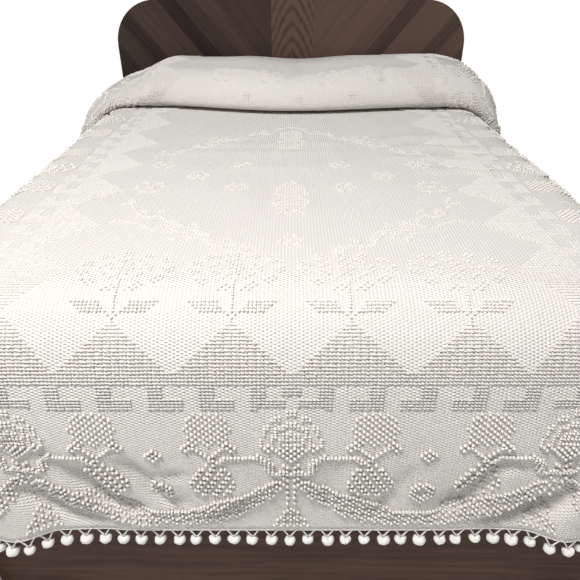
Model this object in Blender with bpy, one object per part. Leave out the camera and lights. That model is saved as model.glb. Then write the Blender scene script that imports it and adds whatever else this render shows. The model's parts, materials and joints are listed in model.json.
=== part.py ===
"""Chenille bedspread lying on a full-size bed, with a ball fringe along its hems.

Metres, +Z up, the floor at z = 0. X runs across the bed and +Y from its foot to
its head, with the origin on the floor under the middle of the bed.

The spread is one sheet. Every point of it has flat cloth coordinates: u, across
from the centre line, and v, along from the foot hem. Drape.place turns them into
a place in space. It keeps the cloth's own length: what is to spare at the foot
corners and beside the pillows goes into folds of just that length.
"""
import math

import bmesh
import bpy
import numpy as np

# Driving dimensions of the bed
MATTRESS_WIDTH = 1.370
MATTRESS_LENGTH = 1.905
MATTRESS_DEPTH = 0.240
TOP_HEIGHT = 0.745
FOOT_ROUND = 0.130
SIDE_ROUND = 0.090
ROUND_EASE = 0.012
HEADBOARD_WIDTH = 1.506
HEADBOARD_RISE = 0.322
HEADBOARD_ROUND = 0.178
HEADBOARD_THICK = 0.040
PANEL_THICK = 0.024
PANEL_INSET = 0.035
RAIL_LIFT = 0.090
DECK_THICK = 0.018
PILLOW_WIDTH = 0.580
PILLOW_DEPTH = 0.460
PILLOW_HEIGHT = 0.104
PILLOW_X = 0.296
PILLOW_Y = 1.622

# Driving dimensions of the spread, measured flat
SPREAD_WIDTH = 2.440
SPREAD_LENGTH = 2.790
CLOTH = 0.003
TOP_GAP = 0.0004
FOOT_GAP = 0.016
SIDE_GAP = 0.012
FOOT_DROP = 0.482

# The tuck under the pillows' front, and the run of the cloth over them
CREASE_Y = 1.236
CREASE_BOW_LEFT = 0.090
CREASE_BOW_RIGHT = 0.060
TUCK_TURN = 0.0050
FRONT_LIP = (0.052, 0.026)
FRONT_RISE = (0.110, 0.102)
CROWN_RISE = 0.012
CROWN_Y = 1.480
PILLOW_BACK = 0.045
PILLOW_BACK_Y = 1.838
PILLOW_BACK_TOP = 0.112
TAIL_END = 0.020
PILLOW_LIFT = 0.120
MEETING_DIP = 0.14
LEFT_DIP = 0.06
HEM_FADE = 0.80
HEM_SAG = 0.020
HEM_SAG_START = 0.440

# Ball fringe
BALL_PITCH = 0.0362
BALL_RADIUS = 0.0128
BALL_DROP = 0.0270
STRIP_HEIGHT = 0.006
ROOT = 0.0022
END_GAP = 0.0040
HEM_GAP = 0.0008
FIT_GAP = 0.0003

# Mesh steps of the sheet
ACROSS_STEPS = 20
CORNER_STEPS = 20
TOP_STEPS = 17
TURN_STEPS = 5
HANG_STEPS = 6

# Soft valleys in the foot drop: x and depth below the top, then how deep and wide
VALLEYS = (
    # points (x, depth)                                              deep    wide
    (((-0.505, 0.25), (-0.490, 0.35), (-0.430, 0.45), (-0.350, 0.50)), 0.014, 0.034),
    (((-0.425, 0.28), (-0.370, 0.33), (-0.350, 0.42)), 0.007, 0.024),
    (((-0.290, 0.30), (-0.255, 0.38)), 0.005, 0.022),
    (((0.370, 0.29), (0.300, 0.40)), 0.006, 0.024),
    (((0.515, 0.30), (0.490, 0.38), (0.430, 0.44), (0.350, 0.49)), 0.014, 0.034),
)

# Lobes of the folds at a foot corner: place along the edge, share, half width.
# The place is metres of x on the foot, angle on the corner, metres of y on the side
CORNER_LOBES = (
    # run        place  share  half width
    ("foot", 0.520, 0.10, 0.080),
    ("corner", 0.50, 1.00, 0.36),
    ("corner", 1.22, 0.92, 0.36),
    ("side", 0.255, 0.50, 0.100),
)

# Lobes of the hanging folds beside the pillows: y, share, half width
PILLOW_LOBES = (
    # y      share  half width
    (1.360, 0.70, 0.075),
    (1.560, 1.00, 0.090),
    (1.750, 0.85, 0.085),
)

HALF_WIDTH = MATTRESS_WIDTH / 2
INNER_X = HALF_WIDTH - SIDE_ROUND
INNER_Y = FOOT_ROUND
CLOTH_TOP = TOP_GAP + CLOTH / 2
FOOT_RADIUS = FOOT_ROUND + FOOT_GAP
SIDE_RADIUS = SIDE_ROUND + SIDE_GAP
FOOT_TURN = FOOT_RADIUS * math.pi / 2
INNER_V = FOOT_TURN + FOOT_DROP - FOOT_RADIUS + CLOTH_TOP
SIDE_REACH = SPREAD_WIDTH / 2 - INNER_X
HEAD_LIMIT = MATTRESS_LENGTH - 0.012
BED_FOOT = -MATTRESS_LENGTH / 2

COLOURS = {
    # material      red    green  blue   roughness
    "chenille": (0.800, 0.770, 0.720, 0.95),
    "fringe": (0.830, 0.800, 0.750, 0.95),
    "walnut": (0.045, 0.028, 0.022, 0.45),
    "ticking": (0.700, 0.680, 0.640, 0.90),
}


def smooth(x, low, high):
    """Return 0 below low, 1 above high, and a smooth rise between them."""
    t = np.clip((x - low) / (high - low), 0.0, 1.0)
    return t * t * (3.0 - 2.0 * t)


def lobe(x, centre, half):
    """Return a rounded bump of height 1 that ends at centre ± half."""
    t = np.clip(np.abs(x - centre) / half, 0.0, 1.0)
    return 0.5 + 0.5 * np.cos(np.pi * t)


class CentreLine:
    """The spread's run along the bed's centre line, from the foot edge to the head."""

    def __init__(self):
        """Join straight lines and arcs, with the tuck as deep as the cloth allows."""
        turn_y = CREASE_Y + FRONT_LIP[0]
        self.v = [0.0]
        self.y = [turn_y]
        self.n = [2 * TUCK_TURN]
        self._front()
        front = self.v[-1]
        self._crown(7)
        over_points = list(zip(self.y, self.n, self.v))[1:]
        tail = PILLOW_BACK_TOP - PILLOW_BACK - TAIL_END
        known = turn_y - INNER_Y + math.pi * TUCK_TURN
        known += over_points[-1][2] + math.pi / 2 * PILLOW_BACK + tail
        self.tuck_depth = (SPREAD_LENGTH - INNER_V - known) / 2
        self.tuck_y = turn_y + self.tuck_depth
        self.v = [INNER_V]
        self.y = [INNER_Y]
        self.n = [0.0]
        self._line(self.tuck_y, 0.0, TOP_STEPS)
        self.tuck_start = self.v[-1]
        self._arc(self.tuck_y, TUCK_TURN, TUCK_TURN, -90, 90, 4)
        self.tuck_stop = self.v[-1]
        self._line(turn_y, 2 * TUCK_TURN, 3)
        self.front_start = self.v[-1]
        self.front_stop = self.front_start + front
        for y, n, v in over_points:
            self.y.append(y)
            self.n.append(n)
            self.v.append(self.front_start + v)
        self.back_start = self.v[-1]
        self._arc(PILLOW_BACK_Y, PILLOW_BACK_TOP - PILLOW_BACK, PILLOW_BACK, 90, 0, 4)
        self._line(PILLOW_BACK_Y + PILLOW_BACK, TAIL_END, 1)

    def _reach(self, y, n):
        """Add a point, with the cloth's length up to it."""
        self.v.append(self.v[-1] + math.hypot(y - self.y[-1], n - self.n[-1]))
        self.y.append(y)
        self.n.append(n)

    def _front(self):
        """Add the pillows' front: a low lip, then a rounded rise to their top."""
        widest = 2 * TUCK_TURN + FRONT_LIP[1]
        for i in range(1, 4):
            turn = math.pi / 2 * i / 3
            self._reach(
                CREASE_Y + FRONT_LIP[0] * (1 - math.sin(turn)),
                widest - FRONT_LIP[1] * math.cos(turn),
            )
        for i in range(1, 7):
            turn = math.pi / 2 * i / 6
            self._reach(
                CREASE_Y + FRONT_RISE[0] * (1 - math.cos(turn)),
                widest + FRONT_RISE[1] * math.sin(turn),
            )

    def _crown(self, steps):
        """Add the soft arch over the pillows, down to the start of their back."""
        y0, n0 = self.y[-1], self.n[-1]
        high = n0 + CROWN_RISE
        for i in range(1, steps + 1):
            y = y0 + (PILLOW_BACK_Y - y0) * i / steps
            n = n0 + CROWN_RISE * float(smooth(y, y0, CROWN_Y))
            if y > CROWN_Y:
                fall = float(smooth(y, CROWN_Y, PILLOW_BACK_Y)) ** 1.2
                n = high + (PILLOW_BACK_TOP - high) * fall
            self._reach(y, n)

    def _line(self, y, n, steps):
        """Add a straight run to (y, n)."""
        y0, n0, v0 = self.y[-1], self.n[-1], self.v[-1]
        length = math.hypot(y - y0, n - n0)
        for i in range(1, steps + 1):
            self.y.append(y0 + (y - y0) * i / steps)
            self.n.append(n0 + (n - n0) * i / steps)
            self.v.append(v0 + length * i / steps)

    def _arc(self, y, n, radius, start, stop, steps):
        """Add an arc about (y, n), with its angles in degrees from +Y."""
        v0 = self.v[-1]
        for i in range(1, steps + 1):
            turn = (stop - start) * i / steps
            angle = math.radians(start + turn)
            self.y.append(y + radius * math.cos(angle))
            self.n.append(n + radius * math.sin(angle))
            self.v.append(v0 + radius * math.radians(abs(turn)))

    def at(self, v):
        """Return the run along the bed and the height over its top at v."""
        return np.interp(v, self.v, self.y), np.interp(v, self.v, self.n)

    def pleat(self, v):
        """Return the cloth that the tuck's flat pleat takes out of the side's run."""
        back = np.clip(v - self.tuck_stop, 0.0, self.tuck_depth)
        turn = np.clip(v - self.tuck_start, 0.0, self.tuck_stop - self.tuck_start)
        return turn + 2.0 * back

    @staticmethod
    def pleat_left(s):
        """Return the share of the pleat that is still folded at level s."""
        return 1.0 - smooth(s, 0.20, 0.46)


class EdgeLines:
    """Level lines of the drop: lines of the cloth at one distance from the top.

    Each one goes from the middle of the foot around a corner to the head. Its
    folds are as deep as they must be for the line to hold all of its cloth.
    """

    LEVELS = np.linspace(0.0, 0.72, 25)

    def __init__(self, pleat):
        """Solve the folds of every level and keep the lines' lengths.

        Args:
            pleat: the cloth that the tuck takes out of the side's run.
        """
        self.pleat = pleat
        foot = np.linspace(0.0, INNER_X, 120, endpoint=False)
        corner = np.linspace(0.0, math.pi / 2, 120, endpoint=False)
        side = np.linspace(INNER_Y, HEAD_LIMIT, 420)
        self.run = np.concatenate([foot, INNER_X + corner, INNER_X + math.pi / 2 - INNER_Y + side])
        self.foot_x = np.concatenate([foot, np.full(540, INNER_X)])
        self.angle = np.concatenate([np.zeros(120), corner, np.full(420, math.pi / 2)])
        self.side_y = np.concatenate([np.full(240, INNER_Y), side])
        self.corner_shape = self._corner_shape()
        self.pillow_shape = self._pillow_shape()
        self.corner_depth = np.array([self._solve_corner(s) for s in self.LEVELS])
        self.pillow_depth = np.array([self._solve_pillow(s) for s in self.LEVELS])
        self.length = np.array([self._lengths(s, i) for i, s in enumerate(self.LEVELS)])

    def _side_cloth(self, s):
        """Return the length of cloth that hangs along the side at level s."""
        return SPREAD_LENGTH - INNER_V - self.pleat * float(CentreLine.pleat_left(s))

    def _corner_shape(self):
        """Return the corner folds' share of their depth along the line."""
        shape = np.zeros_like(self.run)
        for name, place, share, half in CORNER_LOBES:
            if name == "foot":
                shape += share * lobe(self.foot_x, place, half) * (self.angle == 0.0)
            elif name == "corner":
                inside = (self.angle > 0.0) & (self.angle < math.pi / 2)
                shape += share * lobe(self.angle, place, half) * inside
            else:
                shape += share * lobe(self.side_y, place, half) * (self.angle > 1.57)
        return shape

    def _pillow_shape(self):
        """Return the share of the folds beside the pillows along the line."""
        shape = np.zeros_like(self.run)
        for place, share, half in PILLOW_LOBES:
            shape += share * lobe(self.side_y, place, half)
        return shape

    def _points(self, s, corner_depth, pillow_depth):
        """Return the level line's points in plan."""
        turned = np.sin(np.minimum(s / round_radius(self.angle), math.pi / 2))
        fold = corner_depth * self.corner_shape + pillow_depth * self.pillow_shape
        x = self.foot_x + (SIDE_RADIUS * turned + fold) * np.sin(self.angle)
        y = self.side_y - (FOOT_RADIUS * turned + fold) * np.cos(self.angle)
        return x, y

    def _measure(self, s, corner_depth, pillow_depth):
        """Return the length along the level line up to each of its points."""
        x, y = self._points(s, corner_depth, pillow_depth)
        return np.concatenate([[0.0], np.cumsum(np.hypot(np.diff(x), np.diff(y)))])

    def _solve(self, wanted, measure):
        """Return the fold depth whose length is wanted, by halving."""
        low, high = 0.0, 0.6
        for _ in range(26):
            middle = (low + high) / 2
            if measure(middle) < wanted:
                low = middle
            else:
                high = middle
        return (low + high) / 2

    def _solve_corner(self, s):
        """Return the depth of the corner folds at level s."""
        start = np.searchsorted(self.run, 0.30)
        stop = np.searchsorted(self.side_y, 0.55)

        def measure(depth):
            line = self._measure(s, depth, 0.0)
            return line[stop] - line[start]

        wanted = INNER_X - 0.30 + s * math.pi / 2 + 0.55 - INNER_Y
        return self._solve(wanted, measure)

    def _solve_pillow(self, s):
        """Return the depth of the folds beside the pillows at level s."""
        start = np.searchsorted(self.side_y, 1.15)

        def measure(depth):
            line = self._measure(s, 0.0, depth)
            return line[-1] - line[start]

        wanted = self._side_cloth(s) - (1.15 - INNER_Y)
        return self._solve(wanted, measure)

    def _lengths(self, s, i):
        """Return the lengths along level i, ending where its cloth ends."""
        line = self._measure(s, self.corner_depth[i], self.pillow_depth[i])
        flat = INNER_X + s * math.pi / 2 + self._side_cloth(s)
        return line * flat / line[-1]

    def find(self, s, flat):
        """Return where on its level line each point of the cloth lies.

        Args:
            s: distance from the flat top, in the cloth.
            flat: length along the level line, in the cloth.

        Returns:
            foot x, corner angle, side y and the two fold displacements.
        """
        place = np.clip(s / (self.LEVELS[1] - self.LEVELS[0]), 0.0, len(self.LEVELS) - 1.001)
        low = place.astype(int)
        part = place - low
        below = np.empty_like(flat)
        above = np.empty_like(flat)
        for i in np.unique(low):
            mine = low == i
            below[mine] = np.interp(flat[mine], self.length[i], self.run)
            above[mine] = np.interp(flat[mine], self.length[i + 1], self.run)
        run = below * (1.0 - part) + above * part
        corner = np.interp(s, self.LEVELS, self.corner_depth)
        pillow = np.interp(s, self.LEVELS, self.pillow_depth)
        return (
            np.interp(run, self.run, self.foot_x),
            np.interp(run, self.run, self.angle),
            np.interp(run, self.run, self.side_y),
            corner * np.interp(run, self.run, self.corner_shape),
            pillow * np.interp(run, self.run, self.pillow_shape),
        )


def round_radius(angle):
    """Return the cloth's edge radius: angle 0 is the foot, a right angle the side."""
    share = np.sin(angle) ** 2
    return FOOT_RADIUS * (1.0 - share) + SIDE_RADIUS * share


def valley_depth(x, depth):
    """Return how far the soft valleys push the foot drop in."""
    total = np.zeros_like(x)
    for points, deep, wide in VALLEYS:
        line = np.array(points)
        near = np.full_like(x, 9.0)
        for (ax, ad), (bx, bd) in zip(line[:-1], line[1:]):
            dx, dd = bx - ax, bd - ad
            t = np.clip(((x - ax) * dx + (depth - ad) * dd) / (dx * dx + dd * dd), 0.0, 1.0)
            near = np.minimum(near, np.hypot(x - ax - t * dx, depth - ad - t * dd))
        total += deep * np.exp(-((near / wide) ** 2))
    return total


class Drape:
    """Where each point of the flat spread lies on the bed."""

    def __init__(self):
        """Work out the centre line and the level lines of the drop."""
        self.centre = CentreLine()
        self.edges = EdgeLines(float(self.centre.pleat(SPREAD_LENGTH)))

    def pillow_taper(self, b, side):
        """Return the share of the pillows' height left at b across the bed.

        The height dips where the two pillows meet, and the left one lies lower.
        """
        left = 1.0 - 0.56 * smooth(b, 0.43, 0.65)
        right = 1.0 - 0.90 * smooth(b, 0.54, 0.84)
        share = np.where(side < 0, left, right)
        x = side * b
        wave = 1.0 - MEETING_DIP * lobe(x, 0.03, 0.26) - LEFT_DIP * smooth(-x, 0.08, 0.30)
        return share * wave * (1.0 - 0.75 * smooth(b, 0.78, 1.05))

    def place(self, u, v):
        """Return the x, y and z of points of the cloth.

        Args:
            u: distance across from the centre line, an array.
            v: distance along from the foot hem, an array of the same size.
        """
        u = np.asarray(u, float)
        v = np.asarray(v, float)
        side = np.where(u < 0, -1.0, 1.0)
        au = np.abs(u)
        over = smooth(v, self.centre.front_start, self.centre.front_stop + 0.10)
        over = over * (1.0 - 0.5 * smooth(v, self.centre.back_start, SPREAD_LENGTH))
        au = au - PILLOW_LIFT * over * smooth(au, 0.45, 0.95)
        du = np.maximum(au - INNER_X, 0.0)
        dv = np.maximum(INNER_V - v, 0.0)
        s = np.hypot(du, dv)
        phi = np.arctan2(du, np.maximum(dv, 1e-12))
        on_side = v >= INNER_V
        phi = np.where(on_side, np.pi / 2, phi)
        phi = np.where(du <= 0.0, 0.0, phi)

        # the flat top and the run over the pillows
        line_y, line_n = self.centre.at(np.maximum(v, INNER_V))
        bow = np.where(u < 0, CREASE_BOW_LEFT, CREASE_BOW_RIGHT)
        bow = bow * smooth(np.minimum(au, INNER_X), 0.02, 0.52)
        hold = smooth(v, INNER_V + 0.75, self.centre.tuck_start - 0.10)
        hold = hold * (1.0 - smooth(v, self.centre.front_stop, self.centre.back_start))
        top_y = line_y + bow * hold
        tuck = np.minimum(line_n, 2 * TUCK_TURN)
        lift = tuck + (line_n - tuck) * self.pillow_taper(au, side)

        # the drop
        flat = np.where(du <= 0.0, np.minimum(au, INNER_X), INNER_X + s * phi)
        pleat = self.centre.pleat(v) * self.centre.pleat_left(s)
        flat = flat + np.where(on_side, v - INNER_V - pleat, 0.0)
        foot_x, angle, side_y, corner, pillow = self.edges.find(s, flat)
        hang = smooth(s, 0.04, 0.24)
        radius = round_radius(angle)
        turn = np.minimum(s / radius, np.pi / 2)
        depth = radius * (1.0 - np.cos(turn)) + np.maximum(s - radius * np.pi / 2, 0.0)
        fold = corner + pillow * hang
        belly = 0.013 * lobe(depth, 0.27, 0.20) * (angle < 0.01) * (1.0 - smooth(foot_x, 0.40, 0.56))
        dent = valley_depth(side * foot_x, depth) * np.cos(angle) ** 2 * smooth(depth, 0.20, 0.27)
        dent = dent * (1.0 - HEM_FADE * smooth(depth, 0.41, 0.475))
        out = fold + belly - dent
        bulge = lift * hang * 0.9 + lift * (1.0 - hang)
        normal_out = np.sin(turn)
        normal_up = np.cos(turn)
        bulge = np.where(on_side, bulge, 0.0)
        side_out = SIDE_RADIUS * normal_out + out + bulge * normal_out
        drop_x = foot_x + side_out * np.sin(angle)
        drop_y = np.where(on_side, side_y * hang + top_y * (1.0 - hang), side_y)
        drop_y = drop_y - (FOOT_RADIUS * normal_out + out) * np.cos(angle)
        rise = 0.5 * fold ** 2 / (depth + 0.08)
        sag = HEM_SAG * smooth(foot_x, HEM_SAG_START, INNER_X) * smooth(depth, 0.2, 0.5) * np.cos(angle) ** 2
        drop_z = -depth + rise - sag + bulge * normal_up

        inside = s <= 0.0
        x = np.where(inside, au, drop_x) * side
        y = np.where(inside, top_y, drop_y)
        z = np.where(inside, lift, drop_z)
        return x, y + BED_FOOT, z + TOP_HEIGHT + CLOTH_TOP


def clear_scene():
    """Remove every object of the open file."""
    for thing in list(bpy.data.objects):
        bpy.data.objects.remove(thing, do_unlink=True)


def material(name):
    """Return the plain Principled material of that name."""
    found = bpy.data.materials.get(name)
    if found:
        return found
    red, green, blue, rough = COLOURS[name]
    made = bpy.data.materials.new(name)
    made.use_nodes = True
    shader = made.node_tree.nodes["Principled BSDF"]
    shader.inputs["Base Color"].default_value = (red, green, blue, 1.0)
    shader.inputs["Roughness"].default_value = rough
    shader.inputs["Metallic"].default_value = 0.0
    made.diffuse_color = (red, green, blue, 1.0)
    return made


def add_object(name, points, faces, finish):
    """Add a mesh object from points and faces, its normals facing outwards."""
    mesh = bpy.data.meshes.new(name)
    mesh.from_pydata([tuple(map(float, p)) for p in points], [], faces)
    work = bmesh.new()
    work.from_mesh(mesh)
    bmesh.ops.remove_doubles(work, verts=work.verts, dist=1e-6)
    bmesh.ops.recalc_face_normals(work, faces=work.faces)
    work.to_mesh(mesh)
    work.free()
    made = bpy.data.objects.new(name, mesh)
    made.data.materials.append(material(finish))
    bpy.context.collection.objects.link(made)
    return made


def hem_reach(angle):
    """Return the cloth's length from the flat top to the hem in a direction."""
    return 1.0 / np.hypot(np.cos(angle) / INNER_V, np.sin(angle) / SIDE_REACH)


def level(angle, k):
    """Return the distance from the flat top of the sheet's mesh line number k."""
    turn = float(round_radius(angle)) * math.pi / 2
    if k <= TURN_STEPS:
        return turn * k / TURN_STEPS
    return turn + (float(hem_reach(angle)) - turn) * (k - TURN_STEPS) / HANG_STEPS


def rim_path(drape):
    """Return the flat points around the flat top's edge, with their directions.

    The path goes along the left side from the head, around the foot, and back
    along the right side. Each entry is (u, v, direction across, direction down).
    """
    rows = [v for v in drape.centre.v]
    path = [(-INNER_X, v, -1.0, 0.0) for v in reversed(rows[1:])]
    for i in range(CORNER_STEPS + 1):
        angle = math.pi / 2 * (1.0 - i / CORNER_STEPS)
        path.append((-INNER_X, INNER_V, -math.sin(angle), math.cos(angle)))
    for i in range(1, ACROSS_STEPS):
        path.append((-INNER_X + 2 * INNER_X * i / ACROSS_STEPS, INNER_V, 0.0, 1.0))
    for i in range(CORNER_STEPS + 1):
        angle = math.pi / 2 * i / CORNER_STEPS
        path.append((INNER_X, INNER_V, math.sin(angle), math.cos(angle)))
    path.extend((INNER_X, v, 1.0, 0.0) for v in rows[1:])
    return path


def build_spread(drape):
    """Add the spread: a grid over the bed's top, and the drop hung around it."""
    rows = drape.centre.v
    across = np.linspace(-INNER_X, INNER_X, ACROSS_STEPS + 1)
    flat = [(u, v) for v in rows for u in across]
    faces = []
    for j in range(len(rows) - 1):
        for i in range(ACROSS_STEPS):
            a = j * (ACROSS_STEPS + 1) + i
            b = a + ACROSS_STEPS + 1
            faces.append((a, a + 1, b + 1, b))
    rim = rim_path(drape)
    start = len(flat)
    for k in range(TURN_STEPS + HANG_STEPS + 1):
        for u, v, across_way, down_way in rim:
            far = level(math.atan2(abs(across_way), down_way), k)
            flat.append((u + across_way * far, v - down_way * far))
    for k in range(TURN_STEPS + HANG_STEPS):
        for i in range(len(rim) - 1):
            a = start + k * len(rim) + i
            b = a + len(rim)
            faces.append((a, b, b + 1, a + 1))
    u, v = np.array(flat).T
    x, y, z = drape.place(u, v)
    spread = add_object("bedspread", np.column_stack([x, y, z]), faces, "chenille")
    work = bmesh.new()
    work.from_mesh(spread.data)
    bmesh.ops.dissolve_degenerate(work, edges=work.edges, dist=1e-5)
    bmesh.ops.recalc_face_normals(work, faces=work.faces)
    work.to_mesh(spread.data)
    work.free()
    thick = spread.modifiers.new("cloth thickness", "SOLIDIFY")
    thick.thickness = CLOTH
    thick.offset = 0.0
    return spread


def hem_line(drape):
    """Return the underside of the sheet's hem, from left head corner to right head corner.

    Where the cloth slants, its lower edge reaches below the middle of the sheet.
    """
    rim = rim_path(drape)
    rows = []
    for k in (TURN_STEPS + HANG_STEPS, TURN_STEPS + HANG_STEPS - 1):
        far = [level(math.atan2(abs(p[2]), p[3]), k) for p in rim]
        u = np.array([p[0] + p[2] * r for p, r in zip(rim, far)])
        v = np.array([p[1] - p[3] * r for p, r in zip(rim, far)])
        rows.append(np.column_stack(drape.place(u, v)))
    hem, above = rows
    slant = np.hypot(*(hem - above)[:, :2].T) / np.linalg.norm(hem - above, axis=1)
    hem[:, 2] -= CLOTH / 2 * slant
    return hem


def build_fringe(name, line, finish="fringe"):
    """Add a strip along a stretch of the hem, with its balls as four-sided locks.

    Args:
        name: the node's name.
        line: the hem's corners along the stretch, an array of points.
    """
    length = np.concatenate([[0.0], np.cumsum(np.linalg.norm(np.diff(line[:, :2], axis=0), axis=1))])
    count = int((length[-1] - 0.01) / BALL_PITCH)
    pitch = (length[-1] - 0.01) / count
    balls = [0.005 + (i + 0.5) * pitch for i in range(count)]
    clear = [h for h in length[1:-1] if min(abs(h - b) for b in balls) > ROOT + 0.001]
    cuts = [(h, False) for h in clear] + [(length[0] + END_GAP, False), (length[-1] - END_GAP, False)]
    cuts += [(b - ROOT, True) for b in balls] + [(b + ROOT, False) for b in balls]
    cuts.sort()
    places = np.array([c[0] for c in cuts])
    spots = np.column_stack([np.interp(places, length, line[:, k]) for k in range(3)])
    ahead = np.column_stack([np.interp(places + 0.004, length, line[:, k]) for k in range(2)])
    behind = np.column_stack([np.interp(places - 0.004, length, line[:, k]) for k in range(2)])
    way = ahead - behind
    way /= np.linalg.norm(way, axis=1)[:, None]
    out = np.column_stack([way[:, 1], -way[:, 0]])
    half = CLOTH * 0.45
    top = spots[:, 2] - HEM_GAP
    points = []
    for spot, side, high in zip(spots, out, top):
        for sign, z in ((1, high), (-1, high), (-1, high - STRIP_HEIGHT), (1, high - STRIP_HEIGHT)):
            points.append((spot[0] + sign * half * side[0], spot[1] + sign * half * side[1], z))
    faces = [(0, 1, 2, 3), tuple(len(points) - 4 + k for k in (3, 2, 1, 0))]
    for i in range(len(spots) - 1):
        a, b = 4 * i, 4 * i + 4
        faces += [(a, a + 1, b + 1, b), (a + 1, a + 2, b + 2, b + 1), (a + 3, a, b, b + 3)]
        if not cuts[i][1]:
            faces.append((a + 2, a + 3, b + 3, b + 2))
            continue
        middle = (spots[i] + spots[i + 1]) / 2
        low = (top[i] + top[i + 1]) / 2 - STRIP_HEIGHT
        ring = len(points)
        for along, across in ((-1, -1), (-1, 1), (1, 1), (1, -1)):
            size = BALL_RADIUS * 0.82
            x = middle[0] + size * (along * way[i][0] + across * out[i][0])
            y = middle[1] + size * (along * way[i][1] + across * out[i][1])
            points.append((x, y, low - BALL_DROP * 0.62))
        points.append((middle[0], middle[1], low - BALL_DROP - BALL_RADIUS * 0.55))
        quad = (a + 2, a + 3, b + 3, b + 2)
        for k in range(4):
            n = (k + 1) % 4
            faces.append((quad[k], quad[n], ring + n, ring + k))
            faces.append((ring + k, ring + n, ring + 4))
    return add_object(name, points, faces, finish)


def add_box(name, low, high, finish):
    """Add a box between two corners."""
    points = [(x, y, z) for x in (low[0], high[0]) for y in (low[1], high[1]) for z in (low[2], high[2])]
    faces = [(0, 1, 3, 2), (4, 6, 7, 5), (0, 4, 5, 1), (2, 3, 7, 6), (0, 2, 6, 4), (1, 5, 7, 3)]
    return add_object(name, points, faces, finish)


def build_mattress():
    """Add the mattress, rounded along its foot and sides like the cloth over it."""
    steps = 6
    foot_round = FOOT_ROUND + ROUND_EASE
    side_round = SIDE_ROUND + ROUND_EASE
    inner_x = INNER_X - ROUND_EASE
    inner_y = INNER_Y + ROUND_EASE
    rings = []
    for i in range(steps + 1):
        tilt = math.pi / 2 * i / steps
        foot = foot_round * math.sin(tilt)
        side = side_round * math.sin(tilt)
        drop_foot = foot_round * (1 - math.cos(tilt))
        drop_side = side_round * (1 - math.cos(tilt))
        ring = [(-inner_x - side, MATTRESS_LENGTH, -drop_side)]
        for k in range(steps + 1):
            turn = math.pi / 2 * (1 - k / steps)
            share = math.sin(turn) ** 2
            drop = drop_foot * (1 - share) + drop_side * share
            ring.append((-inner_x - side * math.sin(turn), inner_y - foot * math.cos(turn), -drop))
        ring += [(-x, y, z) for x, y, z in reversed(ring)]
        rings.append(ring)
    rings.append([(x, y, -MATTRESS_DEPTH) for x, y, _ in rings[-1]])
    size = len(rings[0])
    points = [(x, y + BED_FOOT, z + TOP_HEIGHT) for ring in rings for x, y, z in ring]
    faces = [tuple(range(size)), tuple(reversed(range(len(points) - size, len(points))))]
    for j in range(len(rings) - 1):
        for k in range(size):
            a, b = j * size + k, j * size + (k + 1) % size
            faces.append((a, b, b + size, a + size))
    return add_object("mattress", points, faces, "ticking")


def build_pillow(name, centre_x):
    """Add one plain pillow under the spread, a rounded cushion."""
    centre_y = BED_FOOT + PILLOW_Y
    centre_z = TOP_HEIGHT + TOP_GAP + PILLOW_HEIGHT / 2
    around, up = 20, 8
    points = [(centre_x, centre_y, centre_z - PILLOW_HEIGHT / 2)]
    for j in range(1, up):
        rise = -math.pi / 2 + math.pi * j / up
        for k in range(around):
            turn = 2 * math.pi * k / around
            wide = math.cos(rise) ** 0.85
            x = math.copysign(abs(math.cos(turn)) ** 0.7, math.cos(turn)) * wide
            y = math.copysign(abs(math.sin(turn)) ** 0.7, math.sin(turn)) * wide
            z = math.sin(rise)
            points.append((
                centre_x + PILLOW_WIDTH / 2 * x,
                centre_y + PILLOW_DEPTH / 2 * y,
                centre_z + PILLOW_HEIGHT / 2 * z,
            ))
    points.append((centre_x, centre_y, centre_z + PILLOW_HEIGHT / 2))
    last = len(points) - 1
    faces = []
    for k in range(around):
        n = (k + 1) % around
        faces.append((0, 1 + n, 1 + k))
        base = 1 + (up - 2) * around
        faces.append((last, base + k, base + n))
        for j in range(up - 2):
            a = 1 + j * around
            faces.append((a + k, a + n, a + around + n, a + around + k))
    return add_object(name, points, faces, "ticking")


def build_headboard():
    """Add the headboard: an upright board with two large round corners."""
    half = HEADBOARD_WIDTH / 2
    top = TOP_HEIGHT + HEADBOARD_RISE
    outline = [(-half, 0.0), (half, 0.0)]
    for i in range(13):
        turn = math.pi / 2 * i / 12
        x = half - HEADBOARD_ROUND * (1 - math.cos(turn))
        outline.append((x, top - HEADBOARD_ROUND * (1 - math.sin(turn))))
    for i in range(13):
        turn = math.pi / 2 * (1 - i / 12)
        x = -half + HEADBOARD_ROUND * (1 - math.cos(turn))
        outline.append((x, top - HEADBOARD_ROUND * (1 - math.sin(turn))))
    front = BED_FOOT + MATTRESS_LENGTH + FIT_GAP
    points = [(x, front, z) for x, z in outline] + [(x, front + HEADBOARD_THICK, z) for x, z in outline]
    size = len(outline)
    faces = [tuple(range(size)), tuple(reversed(range(size, 2 * size)))]
    for k in range(size):
        n = (k + 1) % size
        faces.append((k, n, n + size, k + size))
    return add_object("headboard", points, faces, "walnut")


def build_frame():
    """Add the bed's frame: foot panel, two side rails and the deck."""
    deck_top = TOP_HEIGHT - MATTRESS_DEPTH - FIT_GAP
    panel_top = deck_top - DECK_THICK - FIT_GAP
    wide = HALF_WIDTH - PANEL_INSET
    foot = BED_FOOT + PANEL_INSET
    head = BED_FOOT + MATTRESS_LENGTH
    inner = foot + PANEL_THICK + FIT_GAP
    add_box("foot_panel", (-wide, foot, 0.0), (wide, foot + PANEL_THICK, panel_top), "walnut")
    for name, sign in (("side_rail_left", -1), ("side_rail_right", 1)):
        xs = sorted((sign * wide, sign * (wide - PANEL_THICK)))
        add_box(name, (xs[0], inner, RAIL_LIFT), (xs[1], head, panel_top), "walnut")
    add_box("deck", (-wide, foot, panel_top + FIT_GAP), (wide, head, deck_top), "walnut")
    add_box("centre_leg", (-0.040, -0.040, 0.0), (0.040, 0.040, panel_top), "walnut")


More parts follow.
